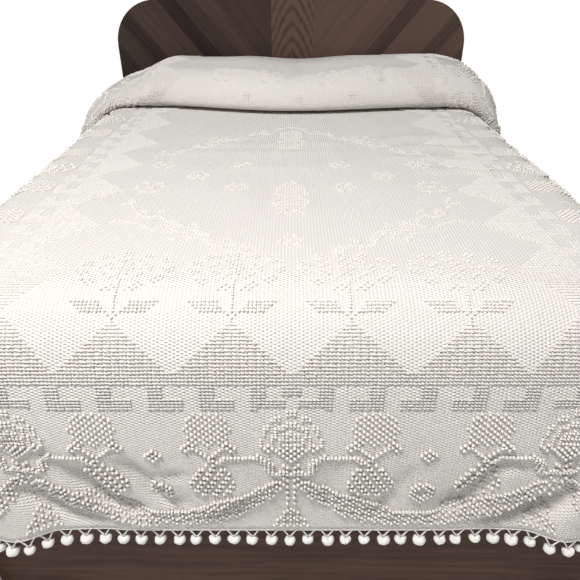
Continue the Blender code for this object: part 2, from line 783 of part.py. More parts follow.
def build():
    """Model the bed and the spread on it."""
    clear_scene()
    build_frame()
    build_headboard()
    build_mattress()
    build_pillow("pillow_left", -PILLOW_X)
    build_pillow("pillow_right", PILLOW_X)
    drape = Drape()
    build_spread(drape)
    hem = hem_line(drape)
    split = len(drape.centre.v) - 1 + CORNER_STEPS // 2
    build_fringe("fringe_left", hem[:split + 1])
    build_fringe("fringe_foot", hem[split:len(hem) - split])
    build_fringe("fringe_right", hem[len(hem) - split - 1:])


if __name__ == "__main__":
    build()
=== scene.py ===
"""Looks of the chenille bedspread that lies over its bed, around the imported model.

Metres, +Z up, the floor at z = 0. X runs across the bed and +Y from its foot to
its head. The spread is one fine sheet on the folds of its solid. Its raised
pattern is charted on the cloth's own grid of ribs and rows, and every tuft is a
small dome on the sheet.
"""
from __future__ import annotations

import json
import logging
import math
from collections.abc import Callable
from dataclasses import dataclass, field
from enum import IntEnum

import bpy
import numpy as np
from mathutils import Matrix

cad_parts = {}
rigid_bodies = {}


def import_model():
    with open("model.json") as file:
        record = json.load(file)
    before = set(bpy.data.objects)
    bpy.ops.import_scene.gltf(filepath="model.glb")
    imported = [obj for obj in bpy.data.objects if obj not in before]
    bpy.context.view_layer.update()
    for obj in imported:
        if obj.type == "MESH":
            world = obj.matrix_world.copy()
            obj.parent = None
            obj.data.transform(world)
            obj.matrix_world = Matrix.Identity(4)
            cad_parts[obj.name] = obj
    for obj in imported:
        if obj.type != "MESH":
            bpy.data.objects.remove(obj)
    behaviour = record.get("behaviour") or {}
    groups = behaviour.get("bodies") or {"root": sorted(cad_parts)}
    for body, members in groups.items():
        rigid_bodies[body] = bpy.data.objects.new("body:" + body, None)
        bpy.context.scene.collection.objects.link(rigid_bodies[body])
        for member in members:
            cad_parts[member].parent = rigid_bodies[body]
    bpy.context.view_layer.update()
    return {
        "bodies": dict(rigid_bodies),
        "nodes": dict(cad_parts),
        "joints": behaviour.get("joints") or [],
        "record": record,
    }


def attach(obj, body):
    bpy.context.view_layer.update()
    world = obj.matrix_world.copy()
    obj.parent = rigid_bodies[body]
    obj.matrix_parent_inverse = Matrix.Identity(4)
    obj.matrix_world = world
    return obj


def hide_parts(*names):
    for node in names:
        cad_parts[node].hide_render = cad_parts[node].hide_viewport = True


LOG = logging.getLogger("bedspread")
Array = np.ndarray


def smooth(x: Array | float, low: float, high: float) -> Array:
    """Return a smooth step from 0 to 1.

    Args:
        x: where to read it.
        low: where the step leaves 0.
        high: where it reaches 1.

    Returns:
        3t² − 2t³, with t the clipped share of the way from low to high.
    """
    t = np.clip((np.asarray(x, float) - low) / (high - low), 0.0, 1.0)
    return t * t * (3.0 - 2.0 * t)


def lobe(x: Array | float, centre: float, half: float) -> Array:
    """Return a rounded bump of height 1.

    Args:
        x: where to read it.
        centre: the bump's middle.
        half: the distance at which it ends.

    Returns:
        Half of one plus the cosine of π·|x − centre| / half.
    """
    t = np.clip(np.abs(np.asarray(x, float) - centre) / half, 0.0, 1.0)
    return 0.5 + 0.5 * np.cos(np.pi * t)


def line_distance(x: Array, y: Array, points: tuple[tuple[float, float], ...]) -> tuple[Array, Array]:
    """Return the distance from points of a plane to a broken line.

    Args:
        x: first coordinates.
        y: second coordinates.
        points: the line's corners.

    Returns:
        The distance to the nearest segment, and how far along the line that is,
        from 0 at its start to 1 at its end.
    """
    line = np.array(points, float)
    steps = np.hypot(*(line[1:] - line[:-1]).T)
    before = np.concatenate([[0.0], np.cumsum(steps)])
    near = np.full(np.shape(x), 1e9)
    along = np.zeros(np.shape(x))
    for i, ((ax, ay), (bx, by)) in enumerate(zip(line[:-1], line[1:])):
        dx, dy = bx - ax, by - ay
        t = np.clip(((x - ax) * dx + (y - ay) * dy) / (dx * dx + dy * dy), 0.0, 1.0)
        far = np.hypot(x - ax - t * dx, y - ay - t * dy)
        closer = far < near
        near = np.where(closer, far, near)
        along = np.where(closer, (before[i] + t * steps[i]) / before[-1], along)
    return near, along


@dataclass(frozen=True)
class BedSizes:
    """Sizes of the bed, as its solids have them."""

    mattress_width: float = 1.370
    mattress_length: float = 1.905
    top_height: float = 0.745
    foot_round: float = 0.130
    side_round: float = 0.090

    @property
    def foot_y(self) -> float:
        """Y of the mattress's foot face."""
        return -self.mattress_length / 2


@dataclass(frozen=True)
class Fold:
    """A soft fold of the hanging cloth, placed along its edge."""

    run: str
    place: float
    share: float
    half: float


@dataclass(frozen=True)
class Crease:
    """A crease pressed or raised along a broken line."""

    points: tuple[tuple[float, float], ...]
    deep: float
    wide: float


@dataclass(frozen=True)
class ClothSizes:
    """Flat sizes of the spread, and how it lies, as its solid has them."""

    width: float = 2.440
    length: float = 2.790
    thick: float = 0.003
    fine_thick: float = 0.0024
    top_gap: float = 0.0004
    foot_gap: float = 0.016
    side_gap: float = 0.012
    foot_drop: float = 0.482
    crease_y: float = 1.236
    crease_bow_left: float = 0.090
    crease_bow_right: float = 0.060
    tuck_turn: float = 0.0050
    front_lip: tuple[float, float] = (0.052, 0.026)
    front_rise: tuple[float, float] = (0.110, 0.102)
    crown_rise: float = 0.012
    crown_y: float = 1.480
    pillow_back: float = 0.045
    pillow_back_y: float = 1.838
    pillow_back_top: float = 0.112
    tail_end: float = 0.020
    pillow_lift: float = 0.120
    meeting_dip: float = 0.14
    left_dip: float = 0.06
    left_fall: tuple[float, float, float] = (0.56, 0.43, 0.65)
    right_fall: tuple[float, float, float] = (0.90, 0.54, 0.84)
    end_fall: tuple[float, float, float] = (0.75, 0.78, 1.05)
    lift_span: tuple[float, float] = (0.45, 0.95)
    bow_span: tuple[float, float] = (0.02, 0.52)
    hang_span: tuple[float, float] = (0.04, 0.24)
    belly: float = 0.013
    belly_depth: tuple[float, float] = (0.27, 0.20)
    belly_end: tuple[float, float] = (0.40, 0.56)
    valley_span: tuple[float, float] = (0.20, 0.27)
    hem_span: tuple[float, float] = (0.41, 0.475)
    hem_fade: float = 0.80
    hem_sag: float = 0.020
    hem_sag_start: float = 0.440
    valleys: tuple[Crease, ...] = (
        Crease(((-0.505, 0.25), (-0.490, 0.35), (-0.430, 0.45), (-0.350, 0.50)), 0.014, 0.034),
        Crease(((-0.425, 0.28), (-0.370, 0.33), (-0.350, 0.42)), 0.007, 0.024),
        Crease(((-0.290, 0.30), (-0.255, 0.38)), 0.005, 0.022),
        Crease(((0.370, 0.29), (0.300, 0.40)), 0.006, 0.024),
        Crease(((0.515, 0.30), (0.490, 0.38), (0.430, 0.44), (0.350, 0.49)), 0.014, 0.034),
    )
    corner_folds: tuple[Fold, ...] = (
        Fold("foot", 0.520, 0.10, 0.080),
        Fold("corner", 0.50, 1.00, 0.36),
        Fold("corner", 1.22, 0.92, 0.36),
        Fold("side", 0.255, 0.50, 0.100),
    )
    pillow_folds: tuple[Fold, ...] = (
        Fold("side", 1.360, 0.70, 0.075),
        Fold("side", 1.560, 1.00, 0.090),
        Fold("side", 1.750, 0.85, 0.085),
    )


@dataclass
class CentreLine:
    """The spread's run along the bed's centre line, from the foot edge to the head."""

    bed: BedSizes
    cloth: ClothSizes
    inner_v: float
    arc_steps: int = 16
    lip_steps: int = 10
    rise_steps: int = 20
    crown_steps: int = 28

    def __post_init__(self) -> None:
        """Join straight lines and arcs, with the tuck as deep as the cloth allows."""
        c = self.cloth
        turn_y = c.crease_y + c.front_lip[0]
        self._start(0.0, turn_y, 2 * c.tuck_turn)
        self._front()
        front = self.v[-1]
        self._crown()
        over_y, over_n, over_v = self.y[1:], self.n[1:], self.v[1:]
        tail = c.pillow_back_top - c.pillow_back - c.tail_end
        known = turn_y - self.bed.foot_round + math.pi * c.tuck_turn
        known += over_v[-1] + math.pi / 2 * c.pillow_back + tail
        self.tuck_depth = (c.length - self.inner_v - known) / 2
        tuck_y = turn_y + self.tuck_depth
        self._start(self.inner_v, self.bed.foot_round, 0.0)
        self._follow(np.array([tuck_y]), np.array([0.0]))
        self.tuck_start = self.v[-1]
        self._arc(tuck_y, c.tuck_turn, c.tuck_turn, (-90, 90))
        self.tuck_stop = self.v[-1]
        self._follow(np.array([turn_y]), np.array([2 * c.tuck_turn]))
        self.front_start = self.v[-1]
        self.front_stop = self.front_start + front
        self._follow(over_y, over_n, over_v)
        self.back_start = self.v[-1]
        back_n = c.pillow_back_top - c.pillow_back
        self._arc(c.pillow_back_y, back_n, c.pillow_back, (90, 0))
        self._follow(np.array([c.pillow_back_y + c.pillow_back]), np.array([c.tail_end]))

    def _start(self, v: float, y: float, n: float) -> None:
        """Start the run at one point."""
        self.v, self.y, self.n = np.array([v]), np.array([y]), np.array([n])

    def _follow(self, y: Array, n: Array, run: Array | None = None) -> None:
        """Add points, each with the cloth's length up to it.

        Args:
            y: places along the bed.
            n: heights over the bed's top.
            run: their lengths from the last point, or None for the sum of the chords.
        """
        if run is None:
            chords = np.hypot(np.diff(y, prepend=self.y[-1]), np.diff(n, prepend=self.n[-1]))
            run = np.cumsum(chords)
        self.v = np.concatenate([self.v, self.v[-1] + run])
        self.y = np.concatenate([self.y, y])
        self.n = np.concatenate([self.n, n])

    def _front(self) -> None:
        """Add the pillows' front: two quarter ellipses, a low lip and a rise to their top."""
        c = self.cloth
        widest = 2 * c.tuck_turn + c.front_lip[1]
        turn = math.pi / 2 * np.arange(1, self.lip_steps + 1) / self.lip_steps
        lip_y = c.crease_y + c.front_lip[0] * (1 - np.sin(turn))
        self._follow(lip_y, widest - c.front_lip[1] * np.cos(turn))
        turn = math.pi / 2 * np.arange(1, self.rise_steps + 1) / self.rise_steps
        rise_y = c.crease_y + c.front_rise[0] * (1 - np.cos(turn))
        self._follow(rise_y, widest + c.front_rise[1] * np.sin(turn))

    def _crown(self) -> None:
        """Add the soft arch over the pillows, a smooth step up and one down to their back."""
        c = self.cloth
        y0, n0 = self.y[-1], self.n[-1]
        high = n0 + c.crown_rise
        y = y0 + (c.pillow_back_y - y0) * np.arange(1, self.crown_steps + 1) / self.crown_steps
        fall = smooth(y, c.crown_y, c.pillow_back_y) ** 1.2
        falling = high + (c.pillow_back_top - high) * fall
        rising = n0 + c.crown_rise * smooth(y, y0, c.crown_y)
        self._follow(y, np.where(y > c.crown_y, falling, rising))

    def _arc(self, y: float, n: float, radius: float, span: tuple[float, float]) -> None:
        """Add an arc about a point.

        Args:
            y: the centre's place along the bed.
            n: the centre's height over the bed's top.
            radius: the arc's radius.
            span: first and last angle from +Y, in degrees.
        """
        turn = (span[1] - span[0]) * np.arange(1, self.arc_steps + 1) / self.arc_steps
        angle = np.radians(span[0] + turn)
        run = radius * np.radians(np.abs(turn))
        self._follow(y + radius * np.cos(angle), n + radius * np.sin(angle), run)

    def at(self, v: Array) -> tuple[Array, Array]:
        """Return the run along the bed and the height over its top at v."""
        return np.interp(v, self.v, self.y), np.interp(v, self.v, self.n)

    def pleat(self, v: Array) -> Array:
        """Return the cloth that the tuck's flat pleat takes out of the side's run."""
        back = np.clip(v - self.tuck_stop, 0.0, self.tuck_depth)
        turn = np.clip(v - self.tuck_start, 0.0, self.tuck_stop - self.tuck_start)
        return turn + 2.0 * back

    @staticmethod
    def pleat_left(s: Array | float) -> Array:
        """Return the share of the pleat that is still folded at level s."""
        return 1.0 - smooth(s, 0.20, 0.46)


@dataclass
class EdgeLines:
    """Level lines of the drop: lines of the cloth at one distance from the top.

    Each one goes from the middle of the foot around a corner to the head. Its
    folds are as deep as they must be for the line to hold all of its cloth.
    """

    bed: BedSizes
    cloth: ClothSizes
    inner_v: float
    pleat: float
    turn_points: int = 120
    side_points: int = 420
    corner_start: float = 0.30
    corner_stop: float = 0.55
    pillow_start: float = 1.15

    def __post_init__(self) -> None:
        """Solve the folds of every level and keep the lines' lengths."""
        self.levels = np.linspace(0.0, 0.72, 25)
        self.inner_x = self.bed.mattress_width / 2 - self.bed.side_round
        self.inner_y = self.bed.foot_round
        self.foot_radius = self.bed.foot_round + self.cloth.foot_gap
        self.side_radius = self.bed.side_round + self.cloth.side_gap
        foot = np.linspace(0.0, self.inner_x, self.turn_points, endpoint=False)
        corner = np.linspace(0.0, math.pi / 2, self.turn_points, endpoint=False)
        side = np.linspace(self.inner_y, self.bed.mattress_length - 0.012, self.side_points)
        turned = self.inner_x + math.pi / 2 - self.inner_y + side
        self.run = np.concatenate([foot, self.inner_x + corner, turned])
        past_foot = np.full(self.turn_points + self.side_points, self.inner_x)
        self.foot_x = np.concatenate([foot, past_foot])
        along_side = np.full(self.side_points, math.pi / 2)
        self.angle = np.concatenate([np.zeros(self.turn_points), corner, along_side])
        self.side_y = np.concatenate([np.full(2 * self.turn_points, self.inner_y), side])
        self.corner_shape = self._shape(self.cloth.corner_folds)
        self.pillow_shape = self._shape(self.cloth.pillow_folds)
        self.corner_depth = np.array([self._solve_corner(s) for s in self.levels])
        self.pillow_depth = np.array([self._solve_pillow(s) for s in self.levels])
        self.length = np.array([self._lengths(s, i) for i, s in enumerate(self.levels)])

    def round_radius(self, angle: Array) -> Array:
        """Return the cloth's edge radius: angle 0 is the foot, a right angle the side."""
        share = np.sin(angle) ** 2
        return self.foot_radius * (1.0 - share) + self.side_radius * share

    def _side_cloth(self, s: float) -> float:
        """Return the length of cloth that hangs along the side at level s."""
        return self.cloth.length - self.inner_v - self.pleat * float(CentreLine.pleat_left(s))

    def _shape(self, folds: tuple[Fold, ...]) -> Array:
        """Return the share of the folds' depth along the line.

        Args:
            folds: the folds, each a lobe on its own run of the line.

        Returns:
            The lobes added up, one value for each point of the line.
        """
        runs = {
            "foot": (self.foot_x, self.angle == 0.0),
            "corner": (self.angle, (self.angle > 0.0) & (self.angle < math.pi / 2)),
            "side": (self.side_y, self.angle >= math.pi / 2),
        }
        shape = np.zeros_like(self.run)
        for fold in folds:
            along, mask = runs[fold.run]
            shape += fold.share * lobe(along, fold.place, fold.half) * mask
        return shape

    def _measure(self, s: float, corner_depth: float, pillow_depth: float) -> Array:
        """Return the length along the level line up to each of its points.

        Args:
            s: distance from the flat top, in the cloth.
            corner_depth: depth of the corner's folds.
            pillow_depth: depth of the folds beside the pillows.

        Returns:
            The running length of the line's steps in plan.
        """
        turned = np.sin(np.minimum(s / self.round_radius(self.angle), math.pi / 2))
        fold = corner_depth * self.corner_shape + pillow_depth * self.pillow_shape
        x = self.foot_x + (self.side_radius * turned + fold) * np.sin(self.angle)
        y = self.side_y - (self.foot_radius * turned + fold) * np.cos(self.angle)
        return np.concatenate([[0.0], np.cumsum(np.hypot(np.diff(x), np.diff(y)))])

    @staticmethod
    def _solve(wanted: float, measure: Callable[[float], float]) -> float:
        """Return the fold depth whose length is wanted, by halving.

        Args:
            wanted: the length of cloth to hold.
            measure: gives the length at a depth.

        Returns:
            The depth.
        """
        low, high = 0.0, 0.6
        for _ in range(26):
            middle = (low + high) / 2
            if measure(middle) < wanted:
                low = middle
            else:
                high = middle
        return (low + high) / 2

    def _solve_corner(self, s: float) -> float:
        """Return the depth of the corner folds at level s."""
        start = int(np.searchsorted(self.run, self.corner_start))
        stop = int(np.searchsorted(self.side_y, self.corner_stop))

        def measure(depth: float) -> float:
            """Return the length around the corner at that depth."""
            line = self._measure(s, depth, 0.0)
            return float(line[stop] - line[start])

        wanted = self.inner_x - self.corner_start + s * math.pi / 2 + self.corner_stop - self.inner_y
        return self._solve(wanted, measure)

    def _solve_pillow(self, s: float) -> float:
        """Return the depth of the folds beside the pillows at level s."""
        start = int(np.searchsorted(self.side_y, self.pillow_start))

        def measure(depth: float) -> float:
            """Return the length beside the pillows at that depth."""
            line = self._measure(s, 0.0, depth)
            return float(line[-1] - line[start])

        wanted = self._side_cloth(s) - (self.pillow_start - self.inner_y)
        return self._solve(wanted, measure)

    def _lengths(self, s: float, i: int) -> Array:
        """Return the lengths along level i, ending where its cloth ends.

        Args:
            s: distance from the flat top.
            i: number of the level.

        Returns:
            The running length, scaled to the cloth that the level holds.
        """
        line = self._measure(s, self.corner_depth[i], self.pillow_depth[i])
        flat = self.inner_x + s * math.pi / 2 + self._side_cloth(s)
        return line * flat / line[-1]

    def find(self, s: Array, flat: Array) -> tuple[Array, Array, Array, Array, Array]:
        """Return where on its level line each point of the cloth lies.

        Args:
            s: distance from the flat top, in the cloth.
            flat: length along the level line, in the cloth.

        Returns:
            Foot x, corner angle, side y and the two fold displacements.
        """
        step = self.levels[1] - self.levels[0]
        place = np.clip(s / step, 0.0, len(self.levels) - 1.001)
        low = place.astype(int)
        part = place - low
        below = np.empty_like(flat)
        above = np.empty_like(flat)
        for i in np.unique(low):
            mine = low == i
            below[mine] = np.interp(flat[mine], self.length[i], self.run)
            above[mine] = np.interp(flat[mine], self.length[i + 1], self.run)
        run = below * (1.0 - part) + above * part
        corner = np.interp(s, self.levels, self.corner_depth)
        pillow = np.interp(s, self.levels, self.pillow_depth)
        return (
            np.interp(run, self.run, self.foot_x),
            np.interp(run, self.run, self.angle),
            np.interp(run, self.run, self.side_y),
            corner * np.interp(run, self.run, self.corner_shape),
            pillow * np.interp(run, self.run, self.pillow_shape),
        )


@dataclass
class Drape:
    """Where each point of the flat spread lies on the bed.

    u runs across the cloth from its centre line, and v along it from the foot hem.
    """

    bed: BedSizes = field(default_factory=BedSizes)
    cloth: ClothSizes = field(default_factory=ClothSizes)
    wrinkles: tuple[Crease, ...] = ()
    probe: float = 0.0015

    def __post_init__(self) -> None:
        """Work out the centre line and the level lines of the drop."""
        c = self.cloth
        self.over_top = c.top_gap + c.thick / 2
        self.inner_x = self.bed.mattress_width / 2 - self.bed.side_round
        self.foot_radius = self.bed.foot_round + c.foot_gap
        self.side_radius = self.bed.side_round + c.side_gap
        turn = self.foot_radius * math.pi / 2
        self.inner_v = turn + c.foot_drop - self.foot_radius + self.over_top
        self.side_reach = c.width / 2 - self.inner_x
        self.centre = CentreLine(self.bed, c, self.inner_v)
        pleat = float(self.centre.pleat(np.array(c.length)))
        self.edges = EdgeLines(self.bed, c, self.inner_v, pleat)

    def _pillow_taper(self, b: Array, side: Array) -> Array:
        """Return the share of the pillows' height left at b across the bed.

        Args:
            b: distance from the centre line.
            side: −1 on the left and 1 on the right.

        Returns:
            About 1 over the pillows, with a dip where they meet and the left one
            lower, falling in smooth steps past their ends.
        """
        c = self.cloth
        left, right, end = (1.0 - fall * smooth(b, low, high)
                            for fall, low, high in (c.left_fall, c.right_fall, c.end_fall))
        x = side * b
        wave = 1.0 - c.meeting_dip * lobe(x, 0.03, 0.26)
        wave = wave - c.left_dip * smooth(-x, 0.08, 0.30)
        return np.where(side < 0, left, right) * wave * end

    def _valley_depth(self, x: Array, depth: Array) -> Array:
        """Return how far the soft valleys push the foot drop in.

        Args:
            x: place across the foot.
            depth: distance below the top.

        Returns:
            The sum of each valley's depth times exp(−(distance / width)²).
        """
        total = np.zeros_like(x)
        for crease in self.cloth.valleys:
            near, _ = line_distance(x, depth, crease.points)
            total += crease.deep * np.exp(-((near / crease.wide) ** 2))
        return total

    def base(self, u: Array, v: Array) -> Array:
        """Return the places of cloth points on the solid's own folds.

        Args:
            u: distance across from the centre line.
            v: distance along from the foot hem, of the same shape.

        Returns:
            Points with x, y and z in the last axis. On the flat top they follow
            the centre line; off it they hang at their distance from the top,
            pushed out by the folds of their level line.
        """
        side = np.where(u < 0, -1.0, 1.0)
        au = np.abs(u)
        c = self.centre
        over = smooth(v, c.front_start, c.front_stop + 0.10)
        over = over * (1.0 - 0.5 * smooth(v, c.back_start, self.cloth.length))
        au = au - self.cloth.pillow_lift * over * smooth(au, *self.cloth.lift_span)
        du = np.maximum(au - self.inner_x, 0.0)
        dv = np.maximum(self.inner_v - v, 0.0)
        s = np.hypot(du, dv)
        phi = np.arctan2(du, np.maximum(dv, 1e-12))
        on_side = v >= self.inner_v
        phi = np.where(on_side, np.pi / 2, phi)
        phi = np.where(du <= 0.0, 0.0, phi)

        line_y, line_n = c.at(np.maximum(v, self.inner_v))
        bow = np.where(u < 0, self.cloth.crease_bow_left, self.cloth.crease_bow_right)
        bow = bow * smooth(np.minimum(au, self.inner_x), *self.cloth.bow_span)
        hold = smooth(v, self.inner_v + 0.75, c.tuck_start - 0.10)
        hold = hold * (1.0 - smooth(v, c.front_stop, c.back_start))
        top_y = line_y + bow * hold
        tuck = np.minimum(line_n, 2 * self.cloth.tuck_turn)
        lift = tuck + (line_n - tuck) * self._pillow_taper(au, side)

        flat = np.where(du <= 0.0, np.minimum(au, self.inner_x), self.inner_x + s * phi)
        pleat = c.pleat(v) * c.pleat_left(s)
        flat = flat + np.where(on_side, v - self.inner_v - pleat, 0.0)
        foot_x, angle, side_y, corner, pillow = self.edges.find(s, flat)
        hang = smooth(s, *self.cloth.hang_span)
        radius = self.edges.round_radius(angle)
        turn = np.minimum(s / radius, np.pi / 2)
        depth = radius * (1.0 - np.cos(turn)) + np.maximum(s - radius * np.pi / 2, 0.0)
        fold = corner + pillow * hang
        belly = self.cloth.belly * lobe(depth, *self.cloth.belly_depth) * (angle < 0.01)
        belly = belly * (1.0 - smooth(foot_x, *self.cloth.belly_end))
        dent = self._valley_depth(side * foot_x, depth)
        dent = dent * np.cos(angle) ** 2 * smooth(depth, *self.cloth.valley_span)
        dent = dent * (1.0 - self.cloth.hem_fade * smooth(depth, *self.cloth.hem_span))
        out = fold + belly - dent
        bulge = np.where(on_side, lift * hang * 0.9 + lift * (1.0 - hang), 0.0)
        side_out = self.side_radius * np.sin(turn) + out + bulge * np.sin(turn)
        drop_x = foot_x + side_out * np.sin(angle)
        drop_y = np.where(on_side, side_y * hang + top_y * (1.0 - hang), side_y)
        drop_y = drop_y - (self.foot_radius * np.sin(turn) + out) * np.cos(angle)
        rise = 0.5 * fold**2 / (depth + 0.08)
        sag = self.cloth.hem_sag * smooth(foot_x, self.cloth.hem_sag_start, self.inner_x)
        sag = sag * smooth(depth, 0.2, 0.5)
        drop_z = -depth + rise - sag * np.cos(angle) ** 2 + bulge * np.cos(turn)

        inside = s <= 0.0
        x = np.where(inside, au, drop_x) * side
        y = np.where(inside, top_y, drop_y) + self.bed.foot_y
        z = np.where(inside, lift, drop_z) + self.bed.top_height + self.over_top
        return np.stack([x, y, z], axis=-1)

    def _frame(self, u: Array, v: Array) -> tuple[Array, Array, Array]:
        """Return the unit directions of the cloth by central differences.

        Args:
            u: distance across.
            v: distance along.

        Returns:
            The direction across, the direction along and the outward normal.
        """
        step = self.probe
        edge_u = np.clip(u, -self.cloth.width / 2 + step, self.cloth.width / 2 - step)
        edge_v = np.clip(v, step, self.cloth.length - step)
        across = self.base(edge_u + step, edge_v) - self.base(edge_u - step, edge_v)
        along = self.base(edge_u, edge_v + step) - self.base(edge_u, edge_v - step)
        across /= np.linalg.norm(across, axis=-1, keepdims=True) + 1e-12
        along /= np.linalg.norm(along, axis=-1, keepdims=True) + 1e-12
        normal = np.cross(across, along)
        normal /= np.linalg.norm(normal, axis=-1, keepdims=True) + 1e-12
        return across, along, normal

    def relief(self, u: Array, v: Array) -> Array:
        """Return how far the fine wrinkles push the cloth along its normal.

        Args:
            u: distance across.
            v: distance along.

        Returns:
            Each crease's depth times exp(−(distance / width)²), fading out at
            both ends of its line.
        """
        total = np.zeros_like(u)
        for crease in self.wrinkles:
            near, along = line_distance(u, v, crease.points)
            ends = smooth(along, 0.0, 0.25) * (1.0 - smooth(along, 0.75, 1.0))
            total += crease.deep * np.exp(-((near / crease.wide) ** 2)) * ends
        return total

    def place(self, u: Array, v: Array) -> Array:
        """Return the places of cloth points with the fine wrinkles."""
        _, _, normal = self._frame(u, v)
        return self.base(u, v) + normal * self.relief(u, v)[..., None]

    def spots(self, u: Array, v: Array) -> tuple[Array, Array, Array, Array]:
        """Return places on the cloth's outer face with their directions.

        Args:
            u: distance across.
            v: distance along.

        Returns:
            The place, the direction across, the direction along and the normal.
        """
        across, along, normal = self._frame(u, v)
        push = self.relief(u, v) + self.cloth.fine_thick / 2
        return self.base(u, v) + normal * push[..., None], across, along, normal


class Tuft(IntEnum):
    """Kinds of raised stitch on the cloth's grid."""

    NONE = 0
    DASH = 1
    DOT = 2
    POPCORN = 3


@dataclass(frozen=True)
class BorderPlan:
    """Repeats of the border along one side of the spread, in cells of the grid."""

    medallion: int
    repeat: int
    disc: int


@dataclass
class Chart:
    """The spread's raised pattern, charted on its grid of ribs and rows.

    Columns are ribs, counted from the centre line, and rows are counted from the
    foot hem. The border runs along the foot and is turned at each side, where
    its depth counts ribs inwards from the side hem.
    """

    width: float
    length: float
    rib: float = 0.00634
    row: float = 0.0058
    apex_row: int = 80
    apex_rib: int = 61
    foot: BorderPlan = BorderPlan(medallion=0, repeat=74, disc=22)
    side: BorderPlan = BorderPlan(medallion=115, repeat=77, disc=23)
    side_period: int = 33
    side_first: int = 98
    head_row: int = 470

    def __post_init__(self) -> None:
        """Lay out the grid and chart every motif."""
        ribs = int(self.width / 2 / self.rib) - 1
        rows = int(self.length / self.row) - 1
        self.c, self.r = np.meshgrid(np.arange(-ribs, ribs + 1), np.arange(1, rows))
        self.kind = np.zeros(self.c.shape, np.int8)
        self.far = np.abs(self.c)
        self._fill_band()
        self._keys()
        self._borders()
        self._flowers()
        self._field()

    def _mark(self, where: Array, kind: Tuft) -> None:
        """Chart one kind of stitch where a mask says so."""
        self.kind[where] = kind

    def _fill_band(self) -> None:
        """Chart the filled triangles: zigzags at the foot and sides, cut off at the corners."""
        far, r = self.far, self.r
        wave = 1.0 - np.abs((far % 30) - 15) / 15.0
        foot = (far <= 60) & (r >= 63) & (r <= 66 + 14.4 * wave)
        beat = (r - self.side_first) % self.side_period
        beat = np.minimum(beat, self.side_period - beat) / (self.side_period / 2)
        inner = 60.6 + 14.0 * beat
        outer = self.apex_rib + 17
        valley = self.side_first - self.side_period / 2
        side = (r >= valley) & (far >= inner) & (far <= outer) & (r < self.head_row)
        corner = (far > 60) & (far <= outer) & (r >= 63) & (r < valley)
        corner &= r <= 67 + (far - 60) * 1.25
        self._mark(foot | side | corner, Tuft.DASH)

    @staticmethod
    def _key(along: Array, depth: Array, period: int) -> Array:
        """Return the mask of the key pattern.

        Args:
            along: cells along the border, mirrored about 0.
            depth: cells inwards from the hem.
            period: cells from one key to the next.

        Returns:
            Bars four rows deep, each joined to the band by a leg at its outer end.
        """
        far = np.abs(along)
        w = (far - 2) % period
        leg = (w >= 5) & (w <= 8) & (depth >= 59) & (depth <= 62)
        bar = (w <= 8) & (depth >= 55) & (depth <= 58)
        middle = (far <= 2) & (depth >= 60) & (depth <= 62)
        return (far >= 2) & (leg | bar) | middle

    def _depths(self) -> tuple[Array, Array, Array]:
        """Return the depth in the foot border, in the side border and in the side hem band."""
        side = self.apex_row + self.apex_rib - self.far
        ribs = int(self.width / 2 / self.rib)
        return self.r, side, ribs - self.far

    def _keys(self) -> None:
        """Chart the key pattern under the triangles, at the foot and along both sides."""
        foot, side, _ = self._depths()
        at_foot = self._key(self.c, foot, 13) & (foot <= side)
        middle = self.side_first + self.side_period * 5
        at_side = self._key(self.r - middle, side, 13) & (side < foot) & (self.r < self.head_row)
        self._mark(at_foot | at_side, Tuft.DASH)

    def _borders(self) -> None:
        """Chart the wide border of medallions, discs and swags on three sides."""
        foot, side, hem = self._depths()
        limit = np.where(side >= 0, side, hem)
        at_foot = foot <= limit
        self._border(self.c, foot, self.foot, at_foot)
        self._border(self.r, side, self.side, ~at_foot & (side >= 2) & (self.r < self.head_row))
        self._hem_band(self.r, hem, self.side, ~at_foot & (side < 0) & (self.r < self.head_row))

    @staticmethod
    def _near(along: Array, plan: BorderPlan) -> Array:
        """Return the distance in cells to the nearest medallion."""
        x = (along - plan.medallion) % plan.repeat
        return np.minimum(x, plan.repeat - x)

    def _border(self, along: Array, depth: Array, plan: BorderPlan, where: Array) -> None:
        """Chart one border.

        Args:
            along: cells along the border.
            depth: cells inwards from the hem.
            plan: the border's repeats.
            where: mask of the cells that belong to it.
        """
        t = self._near(along, plan)
        d = depth
        x = t - plan.disc
        half = plan.repeat // 2

        # upper disc: round, filled on every other cell
        disc = (x / 6.2) ** 2 + ((d - 47.9) / 6.1) ** 2 <= 1.0
        self._mark(where & disc & ((x + d) % 2 == 0), Tuft.DOT)

        # sprig under it: two arms that end in square leaves
        arm = (np.abs(np.abs(x) - (d - 37.0) * 0.9) <= 0.6) & (d >= 37) & (d <= 41)
        leaf = np.hypot((np.abs(x) - 5.5) / 2.2, (d - 41.5) / 1.8) <= 1.0
        self._mark(where & (arm | (leaf & ((x + d) % 2 == 0))), Tuft.POPCORN)

        # lower disc: rows of pairs
        low = (x / 6.7) ** 2 + ((d - 26.6) / 7.6) ** 2 <= 1.0
        pair = ((x + d // 2) % 3 != 2) & (d % 2 == 0)
        self._mark(where & low & pair, Tuft.POPCORN)

        # small diamonds half way between two medallions
        y = half - t
        tile = (y + np.abs(d - 38) <= 3) & ((y + d) % 2 == 0)
        self._mark(where & tile, Tuft.POPCORN)
        ring = np.hypot(y / 3.6, (d - 20.5) / 4.6)
        self._mark(where & (ring > 0.35) & (ring <= 1.02) & ((y + d) % 2 == 0), Tuft.POPCORN)

        self._swag(t, d, half, where)
        self._tendril(t, d, plan.disc, where)
        self._medallion(t, d, where)

